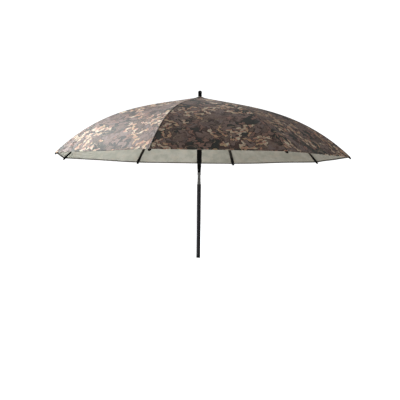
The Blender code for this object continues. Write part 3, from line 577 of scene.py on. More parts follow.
def make_cloth(canopy, number):
    """Closed shell of cloth over one rib: printed outside, plain inside.

    The outer side lies half a thickness above the surface and the seam's welt, a flat
    bump with round edges, on top of it; the inner side lies half a thickness below.
    """
    sizes = canopy.sizes
    points, normals, flat_a, flat_b, away = sheet_grid(canopy, number)
    rows, columns = points.shape[:2]
    half = columns // 2
    welt = unit((sizes.seam_width - away) / (0.3 * sizes.seam_width))
    groove = bell(away, STITCH_LINE * sizes.seam_width, 0.11 * sizes.seam_width)
    lift = sizes.seam_welt * (welt * (2 - welt) - 0.5 * groove * welt)
    outer = points + normals * (sizes.thickness / 2 + lift)[..., None]
    inner = points - normals * sizes.thickness / 2
    strips = []
    sides = (
        (panel_before(number), flat_a, away[:, : half + 1]),
        (number, flat_b, away[:, half:]),
    )
    for panel, flat, away_here in sides:
        # The distance from the crease and the scaled distance from the rib place painted shade and
        # painted highlight on the printed cloth.
        off = np.full(away_here.shape, FAR)
        if panel == NEAR_RIGHT:
            line, gone = canopy.crease_distance(flat[..., 0], flat[..., 1])
            off = np.where(gone < 0, FAR, line)
        # Painted shade: each seam's dark band, narrowed by its own factor
        faint = away_here * SEAM_SHADE_NARROWING.get(number, SEAM_SHADE_NARROWING_ELSEWHERE)
        here = [on_roll(flat, panel), off[..., None], faint[..., None]]
        strips.append(cells(np.concatenate(here, axis=-1)))
    corners = np.concatenate(strips, axis=1).reshape(-1, 4, 4)
    index = np.arange(rows * columns).reshape(rows, columns)
    top = cells(index).reshape(-1, 4)
    under = rows * columns
    edge = np.concatenate([index[0], index[1:, -1], index[-1, -2::-1], index[-2:0:-1, 0]])
    after = np.roll(edge, -1)
    skin = Skin()
    start = skin.add(np.concatenate([outer, inner]), top, corners)
    skin.cover(start, top[:, ::-1] + under, corners[:, ::-1], slot=1)
    skin.cover(start, np.stack([edge, after, after + under, edge + under], axis=-1), slot=1)
    return skin.object(f"canopy_cloth_{number}", sharp=60)


def hem_line(canopy, number, inset, count=60):
    """Points, tangents and normals along the hem over one rib, at an inset from it."""
    radius = canopy.hem - inset
    lateral = radius * HALF_CHORD * np.linspace(0, 1, count)
    points, normals, _, _ = canopy.over_rib(number, np.full(count, radius), lateral)
    return points, unit_length(np.gradient(points, axis=0)), normals


TAPE_SIDES = 20
TAPE_ABOVE, TAPE_BELOW = 0.95, 0.70  # half thickness of the hem tape, in millimetres
TAPE_OVERHANG = 0.0012  # past the cloth's edge


def make_tape(canopy, number):
    """Hem: the printed cloth folded over its edge, a flat superellipse along the hem."""
    sizes = canopy.sizes
    inset = sizes.tape_width / 2 - TAPE_OVERHANG
    points, tangents, normals = hem_line(canopy, number, inset)
    out = unit_length(np.cross(tangents, normals))
    angles = math.tau * np.arange(TAPE_SIDES) / TAPE_SIDES
    cosine, sine = np.cos(angles), np.sin(angles)
    across = np.sign(cosine) * np.abs(cosine) ** 0.45 * sizes.tape_width / 2
    above = np.sign(sine) * np.abs(sine) ** 0.7
    above = np.where(above > 0, TAPE_ABOVE * above, TAPE_BELOW * above) * MILLIMETRE
    rings = points[:, None] + out[:, None] * across[None, :, None]
    rings = rings + normals[:, None] * above[None, :, None]
    half_width = canopy.hem * HALF_CHORD
    far = np.linspace(-1, 1, len(points))[:, None] * half_width
    along = canopy.arc[-1] - across[None] * np.ones_like(far)
    far = far * np.ones_like(along)
    flat = on_roll(np.stack([far - half_width, along], axis=-1), number)
    slot = np.where(np.sin(angles + math.pi / TAPE_SIDES) > 0, 0, 1)
    return bar_piece(f"hem_tape_{number}", rings, sharp=50, slot=slot, flat=flat)


SEAL_START, SEAL_END = 0.045, 0.984  # radii
SEAL_GAP = 0.00002  # to the cloth
SEAL_THICKNESS = 0.0003


def make_seal(canopy, number):
    """Sealing tape inside a seam: a thin closed strip that follows the cloth over a rib.
    Its width takes in the rib's shade on the lining, so part of its dark colour is painted shade.
    """
    sizes = canopy.sizes
    radii = stations(SEAL_START, (0.10, 8), (SEAL_END, 90))
    half = np.minimum(sizes.seal_width / 2, 0.3 * radii)[:, None]
    lateral = half * np.linspace(0, 1, 6)[None]
    radius = np.broadcast_to(radii[:, None], lateral.shape)
    points, normals, _, _ = canopy.over_rib(number, radius, lateral)
    depth = sizes.thickness / 2 + SEAL_GAP
    top, under = points - normals * depth, points - normals * (depth + SEAL_THICKNESS)
    rings = np.concatenate([top, under[:, ::-1]], axis=1)
    return bar_piece(f"seam_seal_{number}", rings, sharp=60)


STITCH_WIDTH = 0.00045
STITCH_START = 0.035  # radius at which a seam's stitches begin
STITCH_RISE = 0.62  # share of the welt's height
HEM_STITCH_LINE = 0.72  # hem to its stitches, as a share of the tape's width
HEM_STITCH_HEIGHTS = (0.00088, -0.00064)  # over and under the middle of the cloth
STITCH_POINTS = np.array([  # shares of its pitch along, and of its width across and up
    [-0.38, 0, 0], [-0.2, 1, 0.2], [-0.2, 0, 1], [-0.2, -1, 0.2],
    [0.2, 1, 0.2], [0.2, 0, 1], [0.2, -1, 0.2], [0.38, 0, 0],
    [-0.2, 0, -0.6], [0.2, 0, -0.6],
])
STITCH_FACES = np.array([
    [0, 2, 1], [0, 3, 2], [0, 8, 3], [0, 1, 8], [7, 4, 5], [7, 5, 6], [7, 6, 9], [7, 9, 4],
    [1, 2, 5], [1, 5, 4], [2, 3, 6], [2, 6, 5], [3, 8, 9], [3, 9, 6], [8, 1, 4], [8, 4, 9],
])


def add_stitches(skin, points, tangents, normals, pitch):
    """Adds stitches along a line: small pointed bars, one for each pitch."""
    steps = np.linalg.norm(np.diff(points, axis=0), axis=-1)
    arc = np.concatenate([[0], np.cumsum(steps)])
    at = np.arange(pitch / 2, arc[-1], pitch)

    def along(values):
        return np.stack([np.interp(at, arc, values[:, k]) for k in range(3)], axis=-1)

    centre, ahead, up = along(points), along(tangents), along(normals)
    frames = np.stack([ahead, np.cross(up, ahead), up], axis=1)
    scaled = STITCH_POINTS * (pitch, STITCH_WIDTH, STITCH_WIDTH)
    placed = centre[:, None] + np.einsum("mk,nkd->nmd", scaled, frames)
    faces = STITCH_FACES[None] + np.arange(len(at))[:, None, None] * len(STITCH_POINTS)
    placed, faces = placed.reshape(-1, 3), faces.reshape(-1, 3)
    skin.add(placed, outwards(placed, faces))


def make_stitches(canopy, number):
    """All stitches over one rib: two rows along the seam, and one row on each side of
    the hem tape."""
    sizes = canopy.sizes
    skin = Skin()
    radii = np.linspace(STITCH_START, canopy.hem - sizes.tape_width, 220)
    lateral = np.full(len(radii), STITCH_LINE * sizes.seam_width)
    height = sizes.thickness / 2 + STITCH_RISE * sizes.seam_welt
    for second, panel in ((True, panel_before(number)), (False, number)):
        _, points, normals = canopy.half(panel, radii, lateral, second)
        tangents = unit_length(np.gradient(points, axis=0))
        add_stitches(skin, points + normals * height, tangents, normals, sizes.stitch)
    inset = HEM_STITCH_LINE * sizes.tape_width
    points, tangents, normals = hem_line(canopy, number, inset, 160)
    for height in HEM_STITCH_HEIGHTS:
        up = normals * math.copysign(1, height)
        add_stitches(skin, points + normals * height, tangents, up, sizes.stitch)
    return skin.object(f"stitching_{number}")


def in_rib_plane(points, number):
    """Points given as (along the rib, across it, up), turned to a rib's plane."""
    return np.stack([*turned_by(points, RIB_TURNS[number - 1]), points[..., 2]], axis=-1)


def tube_rings(path, heights, widths, sides):
    """Ellipses square to a path of (x, z) points in the rib's plane."""
    ahead = unit_length(np.gradient(path, axis=0))
    angles = math.tau * np.arange(sides) / sides
    lift = np.asarray(heights)[:, None] * np.cos(angles)
    side = np.asarray(widths)[:, None] * np.sin(angles)
    x, z = path[:, :1] - ahead[:, 1:] * lift, path[:, 1:] + ahead[:, :1] * lift
    return np.stack([x, side, z], axis=-1)


EYE_CORNER = 0.0006
EYE_STEPS = 40


def eye_rings(sizes, x, z):
    """Ring across the rib's plane about (x, z): a rectangle with round corners, carried
    round a circle."""
    inner, outer, half = sizes.eye_hole, sizes.eye, sizes.eye_width
    quarter = math.pi / 2 * np.linspace(0, 1, 4)
    profile = []
    corners = [(outer, half), (inner, half), (inner, -half), (outer, -half)]
    for number, (radius, width) in enumerate(corners):
        angle = quarter + number * math.pi / 2
        radius += EYE_CORNER * (1 if radius == inner else -1)
        width -= math.copysign(EYE_CORNER, width)
        across, up = radius + EYE_CORNER * np.cos(angle), width + EYE_CORNER * np.sin(angle)
        profile.append(np.stack([across, up], axis=-1))
    radius, width = np.concatenate(profile).T
    around = math.tau * np.arange(EYE_STEPS)[:, None] / EYE_STEPS
    width = np.broadcast_to(width, (EYE_STEPS, len(width)))
    return np.stack([x + radius * np.cos(around), width, z + radius * np.sin(around)], axis=-1)


class RibLine:
    """Middle line of a rib, in the rib's plane: below the cloth by a drop that is largest
    at the crown's hinge and in the tip."""

    def __init__(self, canopy, sizes):
        self.canopy, self.sizes = canopy, sizes
        self.rim = canopy.sizes.rim_radius
        stretch = self.stretch(self.rim)
        fall = math.sqrt(stretch**2 - 1) * math.tan(RIB_STEP / 2) / stretch
        self.tip_reach = math.hypot(sizes.tip_height, fall * sizes.tip_width)

    def stretch(self, radius):
        """Length of the cloth's slope for a unit of radius."""
        step, height = 0.1 * MILLIMETRE, self.canopy.height
        return np.hypot(1, (height(radius + step) - height(radius - step)) / (2 * step))

    def points(self, radius):
        """(x, z) points of the middle line at some radii."""
        sizes = self.sizes
        rest = sizes.cloth / 2 + sizes.cloth_gap
        at_hinge = sizes.eye + rest + sizes.cloth_gap
        along, at_tip = sizes.rod + rest, self.tip_reach + rest
        rise = smooth((radius - HINGE_RADIUS) / sizes.crown_blend)
        off = smooth((radius - self.rim + sizes.tip_length + sizes.tip_blend) / sizes.tip_blend)
        drop = at_hinge + (along - at_hinge) * rise + (at_tip - along) * off
        height = self.canopy.height(radius) - drop * self.stretch(radius)
        return np.stack([radius, height], axis=-1)


CROWN_REACH = 0.07  # radius inside which the rib bends most, with rows close together
ROD_SIDES = 16
STRETCHER_SIDES = 14


def make_rib(line, number):
    """Rib: an eye and a round rod along the middle line."""
    sizes = line.sizes
    start = HINGE_RADIUS + (sizes.eye + sizes.eye_hole) / 2
    radii = stations(start, (CROWN_REACH, 16), (line.rim - sizes.tip_bore, 110))
    skin = Skin()
    hinge = line.points(np.array([HINGE_RADIUS]))[0]
    add_bar(skin, in_rib_plane(eye_rings(sizes, *hinge), number), closed=True)
    rod = np.full(len(radii), sizes.rod)
    add_bar(skin, in_rib_plane(tube_rings(line.points(radii), rod, rod, ROD_SIDES), number))
    return skin.object(f"rib_rod_{number}")


TIP_SIDES = 28
TIP_GROOVES = (0.10, 0.15, 0.20)  # shares of the tip's length
TIP_GROOVE_DEPTH = 0.0004
TIP_PLAY = 0.00035  # between the rod and the bore
TIP_CLEAR = 0.0005  # from the rod's end to the bore's


def make_tip(line, number):
    """Flat cap on a rib's end. Its half width grows from the mouth by a smooth step; the
    nose closes as a superellipse, and grooves run round its neck."""
    sizes = line.sizes
    nose_rows = 0.78 + 0.22 * np.sin(np.linspace(0, math.pi / 2, 18)[1:])
    place = np.concatenate([np.linspace(0, 0.78, 50), nose_rows])  # 0 mouth, 1 nose
    swell = smooth(place / 0.5)
    nose = np.sqrt(np.clip(1 - unit((place - 0.8) / 0.2) ** 4, 1e-6, 1))
    groove = TIP_GROOVE_DEPTH * sum(bell(place, at, 0.010) for at in TIP_GROOVES)
    width = sizes.tip_width * (0.40 + 0.60 * swell) * nose - groove
    height = sizes.tip_height * (0.80 + 0.20 * swell) * nose ** 0.8 - groove
    mouth = line.rim - sizes.tip_length
    radii = line.rim - sizes.tip_length * (1 - place)
    outer = tube_rings(line.points(radii), height, width, TIP_SIDES)[::-1]
    inside = np.linspace(mouth, line.rim - sizes.tip_bore + TIP_CLEAR, 12)
    bore = np.full(len(inside), sizes.rod + TIP_PLAY)
    inner = tube_rings(line.points(inside), bore, bore, TIP_SIDES)
    return bar_piece(f"rib_cap_{number}", in_rib_plane(np.concatenate([outer, inner]), number))


def make_stretcher(line, number):
    """Stretcher: a straight round rod between two eyes, from the rib's clip to the
    runner, a little flattened towards the eyes by a bell curve."""
    sizes = line.sizes
    joint = next(j for j in frame["joints"] if j["name"] == f"stretcher_hinge_{number}")
    x, y, z = joint["pos_m"]
    top = np.array([math.hypot(x, y), z])
    foot = np.array([HINGE_RADIUS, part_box(f"stretcher_{number}")[0].z + sizes.eye])
    span = float(np.hypot(*(top - foot)))
    inset = (sizes.eye + sizes.eye_hole) / 2 / span
    part = np.linspace(inset, 1 - inset, 24)[:, None]
    ends = np.minimum(part[:, 0], 1 - part[:, 0]) * span
    flat = bell(ends, 0, 0.010)
    skin = Skin()
    for x, z in (top, foot):
        add_bar(skin, in_rib_plane(eye_rings(sizes, x, z), number), closed=True)
    high, wide = sizes.stretcher * (1 + 0.3 * flat), sizes.stretcher * (1 - 0.1 * flat)
    rings = tube_rings(top + (foot - top) * part, high, wide, STRETCHER_SIDES)
    add_bar(skin, in_rib_plane(rings, number))
    return skin.object(f"stretcher_rod_{number}")


def rounded(profile, edge=0.0008, steps=4):
    """Profile of (radius, height) points, whose corners become short curves: each is a
    parabola between points a set length before and after the corner."""
    profile = np.array(profile, float)
    out = []
    for before, corner, after in zip(profile[:-2], profile[1:-1], profile[2:]):
        back, ahead = before - corner, after - corner
        reach = min(edge, 0.45 * np.hypot(*back), 0.45 * np.hypot(*ahead))
        start = corner + back / np.hypot(*back) * reach
        end = corner + ahead / np.hypot(*ahead) * reach
        t = np.linspace(0, 1, steps)[:, None]
        out.append((1 - t) ** 2 * start + 2 * t * (1 - t) * corner + t ** 2 * end)
    return np.concatenate([profile[:1], *out, profile[-1:]])


def ring_wall(corners, edge):
    """Closed profile with round corners, which starts and ends halfway between the last
    corner and the first."""
    middle = (np.array(corners[0]) + np.array(corners[-1])) / 2
    return rounded([middle, *corners, middle], edge)[:-1]


def smooth_through(points, steps=6):
    """Curve through points: between two of them the cubic whose slope at each is half the
    step from the point before it to the point after it."""
    points = np.array(points, float)
    before, after = 2 * points[0] - points[1], 2 * points[-1] - points[-2]
    row = np.concatenate([[before], points, [after]])
    t = np.linspace(0, 1, steps, endpoint=False)[None, :, None]
    a, b, c, d = (row[k: len(row) - 3 + k, None] for k in range(4))
    curve = 2 * b + (c - a) * t + (2 * a - 5 * b + 4 * c - d) * t ** 2
    curve = curve + (3 * b - a - 3 * c + d) * t ** 3
    return np.concatenate([curve.reshape(-1, 2) / 2, points[-1:]])


def turned_piece(name, profile, sides=72, hollow=False):
    """Piece turned about the pole's axis. A hollow profile closes on itself."""
    return bar_piece(name, turned_rings(profile, sides), closed=hollow)


def carved(piece, *steps):
    """The piece after Boolean steps with other pieces, which are used up."""
    for operation, tool in steps:
        modifier = piece.modifiers.new(operation.title(), "BOOLEAN")
        modifier.operation, modifier.object = operation, tool
    bpy.context.view_layer.update()
    worked = piece.evaluated_get(bpy.context.evaluated_depsgraph_get())
    shape = bpy.data.meshes.new_from_object(worked)
    piece.modifiers.clear()
    piece.data = shape
    shape.shade_smooth()
    shape.set_sharp_from_angle(angle=math.radians(SHARP))
    for _, tool in steps:
        bpy.data.objects.remove(tool)
    return piece


def lock_place():
    """Turn of the lock pin about the pole, its height, and how far the runner slides."""
    joints = {joint["name"]: joint for joint in frame["joints"]}
    axis, (low, high) = joints["lock_push"]["axis"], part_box("lock_pin")
    travel = joints["runner_slide"]["range_m"][1]
    return math.atan2(-axis[1], -axis[0]), (low.z + high.z) / 2, travel


def towards_lock(piece, height):
    """The piece, laid from Z towards the lock pin at a height, in its mesh."""
    turn = Matrix.Rotation(lock_place()[0], 4, "Z") @ Matrix.Rotation(math.pi / 2, 4, "Y")
    piece.data.transform(Matrix.Translation((0, 0, height)) @ turn)
    return piece


def lock_drill(sizes, height):
    """Cutter for the lock pin's hole, on the far side at a height."""
    ends = [(sizes.lock_hole, POLE_RADIUS / 2), (sizes.lock_hole, 2 * POLE_RADIUS)]
    return towards_lock(turned_piece("drill", ends, sides=24), height)


def make_tube(sizes, name, node, height):
    """Tube of the pole: a rectangle with round corners turned about the axis, with the
    lock pin's hole at a height."""
    low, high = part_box(node)
    inner, outer = high.x - sizes.wall, high.x
    corners = [(inner, low.z), (outer, low.z), (outer, high.z), (inner, high.z)]
    tube = turned_piece(name, ring_wall(corners, edge=0.0004), hollow=True)
    return carved(tube, ("DIFFERENCE", lock_drill(sizes, height)))


def make_end_cap(sizes):
    """Cap that closes the pole: a disc with a round edge, and a plug in the tube."""
    low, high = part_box("end_cap")
    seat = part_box("lower_tube")[0].z - sizes.seat_gap
    plug = high.x - sizes.wall - sizes.seat_gap
    inner, shoulder = sizes.stud, (high.x - sizes.wall / 2, seat)
    disc = [(inner, low.z), (high.x, low.z), (high.x, seat), shoulder]
    disc = rounded(disc, edge=0.0015, steps=6)
    rest = rounded([shoulder, (plug, seat), (plug, high.z), (inner, high.z)])
    return turned_piece("pole_cap", np.concatenate([disc, rest[1:]]))


FINIAL_SHAPE = (  # shares of its radius and height, from the foot up
    (0.92, 0.00), (1.00, 0.06), (0.95, 0.18), (0.92, 0.32), (0.97, 0.52),
    (1.00, 0.68), (0.93, 0.82), (0.70, 0.93), (0.36, 1.00),
)


def make_finial(sizes):
    """Knob on top: a smooth curve through a few points turned about the axis, on a stud."""
    low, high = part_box("finial")
    foot = low.z + sizes.stud_depth
    shape = np.array(FINIAL_SHAPE) * (high.x, high.z - foot) + (0, foot)
    stud = [(sizes.stud, low.z), (sizes.stud, foot)]
    return turned_piece("finial_knob", [*stud, *smooth_through(shape)])


def make_cone(sizes):
    """Cone between the tilt joint and the upper tube, with its plug in that tube."""
    low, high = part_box("tilt_ferrule")
    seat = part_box("upper_tube")[0].z - sizes.seat_gap
    plug = POLE_RADIUS - sizes.wall - sizes.seat_gap
    wall = ring_wall([
        (sizes.cone_bore, low.z),
        (sizes.cone_foot, low.z),
        (sizes.cone_foot, low.z + sizes.cone_straight),
        (POLE_RADIUS, seat - sizes.cone_band),
        (POLE_RADIUS, seat),
        (plug, seat),
        (plug, high.z),
        (sizes.cone_bore, high.z),
    ], edge=0.0009)
    return turned_piece("tilt_cone", wall, hollow=True)


def make_runner(sizes):
    """Runner: a sleeve that widens to a hub, turned about the axis, less a slot for each
    stretcher, with the lock pin's boss and its hole."""
    low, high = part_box("runner")
    bore = POLE_RADIUS + sizes.play
    neck_foot = high.z - sizes.hub_neck_height
    hinge = neck_foot - sizes.hub
    hub_foot = hinge - sizes.hub
    flare_foot = hub_foot - sizes.hub_flare
    wall = ring_wall([
        (bore, low.z), (sizes.sleeve, low.z), (sizes.sleeve, flare_foot),
        (high.x, hub_foot), (high.x, neck_foot), (sizes.hub_neck, neck_foot),
        (sizes.hub_neck, high.z), (bore, high.z),
    ], edge=0.0010)
    inside = bore + MILLIMETRE
    boss = rounded([
        (sizes.boss / 2, inside), (sizes.boss, inside),
        (sizes.boss, sizes.boss_face), (sizes.boss / 2, sizes.boss_face),
    ], edge=0.0006)
    height = lock_place()[1]
    steps = [("UNION", towards_lock(turned_piece("boss", boss, sides=36), height))]
    rings = np.empty((2, 4, 3))
    rings[..., 0] = np.array([sizes.slot_floor, 2 * high.x])[:, None]
    rings[..., 1] = sizes.slot * np.array([-1, 1, 1, -1])
    rings[..., 2] = np.repeat([flare_foot - MILLIMETRE, neck_foot + MILLIMETRE], 2)
    for number in RIB_NUMBERS:
        steps.append(("DIFFERENCE", bar_piece("slot", in_rib_plane(rings, number))))
    steps.append(("DIFFERENCE", lock_drill(sizes, height)))
    return carved(turned_piece("runner_body", wall, hollow=True), *steps)


def maths_operator(operation, swapped=False):
    """An operator of Python that adds a Math node."""

    def method(self, other):
        first, second = (other, self) if swapped else (self, other)
        return self.paint.maths(operation, first, second)

    return method


class Number:
    """A number in a shader. Python's operators on it add Math nodes."""

    def __init__(self, paint, socket):
        self.paint, self.socket = paint, socket

    __add__ = __radd__ = maths_operator("ADD")
    __sub__ = maths_operator("SUBTRACT")
    __rsub__ = maths_operator("SUBTRACT", swapped=True)
    __mul__ = __rmul__ = maths_operator("MULTIPLY")
    __truediv__ = maths_operator("DIVIDE")
    __rtruediv__ = maths_operator("DIVIDE", swapped=True)

    def __abs__(self):
        return self.paint.maths("ABSOLUTE", self)

    def clip(self):
        """The number kept between 0 and 1."""
        made = self.paint.maths("ADD", self, 0.0)
        made.socket.node.use_clamp = True
        return made


class Paint:
    """A material whose nodes are written as expressions."""

    def __init__(self, name):
        self.material = bpy.data.materials.new(name)
        self.material.use_nodes = True
        self.tree = self.material.node_tree
        self.shader = self.tree.nodes["Principled BSDF"]

    def node(self, kind, inputs=None, **settings):
        """A node of a kind, with its settings, and the values or links of its sockets."""
        made = self.tree.nodes.new(kind)
        for key, value in settings.items():
            setattr(made, key, value)
        for key, value in (inputs or {}).items():
            self.feed(made.inputs[key], value)
        return made

    def feed(self, socket, value):
        """Links a socket to a number or output, or sets its value."""
        if isinstance(value, Number):
            value = value.socket
        if isinstance(value, bpy.types.NodeSocket):
            self.tree.links.new(value, socket)
        elif hasattr(value, "__len__") and socket.type == "RGBA":
            socket.default_value = (*value[:3], 1)
        else:
            socket.default_value = value

    def maths(self, operation, *values):
        """A Math node."""
        made = self.node("ShaderNodeMath", dict(enumerate(values)), operation=operation)
        return Number(self, made.outputs[0])

    def vector(self, operation, *values, scale=None):
        """A Vector Math node's vector."""
        inputs = dict(enumerate(values))
        if scale is not None:
            inputs["Scale"] = scale
        return self.node("ShaderNodeVectorMath", inputs, operation=operation).outputs[0]

    def mix(self, factor, first, second):
        """A Mix node between two colours."""
        inputs = {0: factor, 6: first, 7: second}
        return self.node("ShaderNodeMix", inputs, data_type="RGBA").outputs[2]

    def split(self, vector):
        """The three numbers of a vector."""
        made = self.node("ShaderNodeSeparateXYZ", {0: vector})
        return [Number(self, socket) for socket in made.outputs]

    def noise(self, at, scale, detail=2.0, roughness=0.5, dimensions="3D"):
        """A noise value from 0 to 1, with scale waves or so in a metre."""
        inputs = {"Vector": at, "Scale": scale, "Detail": detail, "Roughness": roughness}
        made = self.node("ShaderNodeTexNoise", inputs, noise_dimensions=dimensions)
        return Number(self, made.outputs[0])

    def print_noise(self, at, scale, detail=2.0, roughness=0.5):
        """A noise value on the flat cloth."""
        return self.noise(at, scale, detail, roughness, dimensions="2D")

    def shifted(self, at, x, y):
        """The place on the cloth, moved so that a pattern differs from another one."""
        return self.vector("ADD", at, (x, y, 0.0))

    def step(self, value, low, high):
        """0 below low and 1 above high, with a smooth rise between."""
        made = self.node(
            "ShaderNodeMapRange", {0: value, 1: low, 2: high, 3: 0.0, 4: 1.0},
            interpolation_type="SMOOTHSTEP",
        )
        return Number(self, made.outputs[0])

    def band(self, value, sides):
        """1 between two sides, each given as the values where its rise is 0 and 1."""
        first, second = (self.step(value, *side) for side in sides)
        return first * second

    def place(self):
        """The piece's own coordinates, in metres."""
        return self.node("ShaderNodeTexCoord").outputs["Object"]

    def cut(self):
        """The place on the cut cloth, in metres."""
        return self.node("ShaderNodeUVMap", uv_map="cut").outputs[0]

    def stretched(self, at, scale):
        """The place, multiplied so that a pattern is stretched or pressed together."""
        inputs = {"Vector": at, "Scale": scale}
        return self.node("ShaderNodeMapping", inputs, vector_type="POINT").outputs[0]

    def bump(self, height, distance, strength=1.0, below=None):
        """Tilts the shader's normal by a height in metres times distance."""
        inputs = {"Height": height, "Distance": distance, "Strength": strength}
        if below is not None:
            inputs["Normal"] = below
        made = self.node("ShaderNodeBump", inputs)
        return made.outputs[0]

    def set(self, **values):
        """Sets the shader's sockets, named in lower case with underscores."""
        names = {socket.name.lower().replace(" ", "_"): socket for socket in self.shader.inputs}
        for key, value in values.items():
            self.feed(names[key], value)
        return self.material


def shade(base, *factors):
    """The colour with its red, green and blue multiplied by one factor, or by three."""
    factors = factors * 3 if len(factors) == 1 else factors
    return tuple(part * factor for part, factor in zip(base, factors))


# Widths in the print, of the painted shade and of the weave's threads, in metres
LEAF_EDGE = 0.0016
LEAF_SURROUND = 0.008
LEAF_STEM = 0.0013
LEAF_VEINS = 0.0035
# Painted shade: width of the dark line along the crease, and of the dark band along a seam
CREASE_SHADE_WIDTH = 0.0050
SEAM_SHADE_WIDTH = 0.0040
THREAD = 0.0011
# Lighter bands of painted highlight beside the crease, by the distance to its right
LEFT_HIGHLIGHT_BAND = (-0.006, -0.012), (-0.060, -0.030)
RIGHT_HIGHLIGHT_BAND = (0.006, 0.009), (0.020, 0.013)
# Leaves of the three layers: metres from one to the next, half length, slimness, depth
# of the lobes, scale of the groups, and the noise that a group needs
DARK_LEAVES = dict(spacing=0.120, size=0.058, slim=0.42, lobes=0.40, gather=5.0, chance=0.52)
RUST_LEAVES = dict(spacing=0.062, size=0.046, slim=0.36, lobes=0.50, gather=4.5, chance=0.50)
DRY_LEAVES = dict(spacing=0.050, size=0.040, slim=0.32, lobes=0.46, gather=4.5, chance=0.54)


def leaf_layer(paint, at, spacing, size, slim, lobes, gather, chance):
    """Scattered leaves: mask, soft surround, veins and a random tint.

    Each cell of a Voronoi pattern holds one leaf, turned at random about the cell's
    point. Its half width falls with the square of the place along it and swings with
    a cosine, which gives lobes. A noise of scale gather at the cell's point, and the
    cell's luck, decide whether it has a leaf, so that leaves stand in groups.
    """
    pattern = paint.node(
        "ShaderNodeTexVoronoi", {"Vector": at, "Scale": 1 / spacing, "Randomness": 0.9},
        voronoi_dimensions="2D", feature="F1",
    )
    dice = paint.node("ShaderNodeSeparateColor", {0: pattern.outputs["Color"]})
    turn, growth, luck = [Number(paint, socket) for socket in dice.outputs[:3]]
    offset = paint.vector("SUBTRACT", at, pattern.outputs["Position"])
    spun = paint.node(
        "ShaderNodeVectorRotate", {"Vector": offset, "Angle": turn * math.tau},
        rotation_type="Z_AXIS",
    )
    x, y, _ = paint.split(spun.outputs[0])
    half = (growth * 0.5 + 0.7) * size
    part = x / half
    body = 1 - part * part
    side = abs(y - (luck - 0.5) * body * size)
    wave = paint.maths("COSINE", part * 8.0 + turn * 5.0)
    width = body * (wave * lobes + 1.0) * (half * slim)
    edge = width - side
    crowd = paint.print_noise(pattern.outputs["Position"], gather, 1.0, 0.4)
    there = paint.step(crowd + luck * 0.12, chance, chance + 0.01)
    mask = (edge / LEAF_EDGE + 0.5).clip() * there
    surround = (edge / LEAF_SURROUND + 1.0).clip() * there
    stem = (1 - side / LEAF_STEM).clip()
    branch = paint.maths("PINGPONG", x + side * 0.8, LEAF_VEINS) / LEAF_VEINS
    veins = paint.maths("MAXIMUM", stem, paint.step(branch, 0.82, 1.0) * 0.7) * mask
    return mask, surround, veins, growth


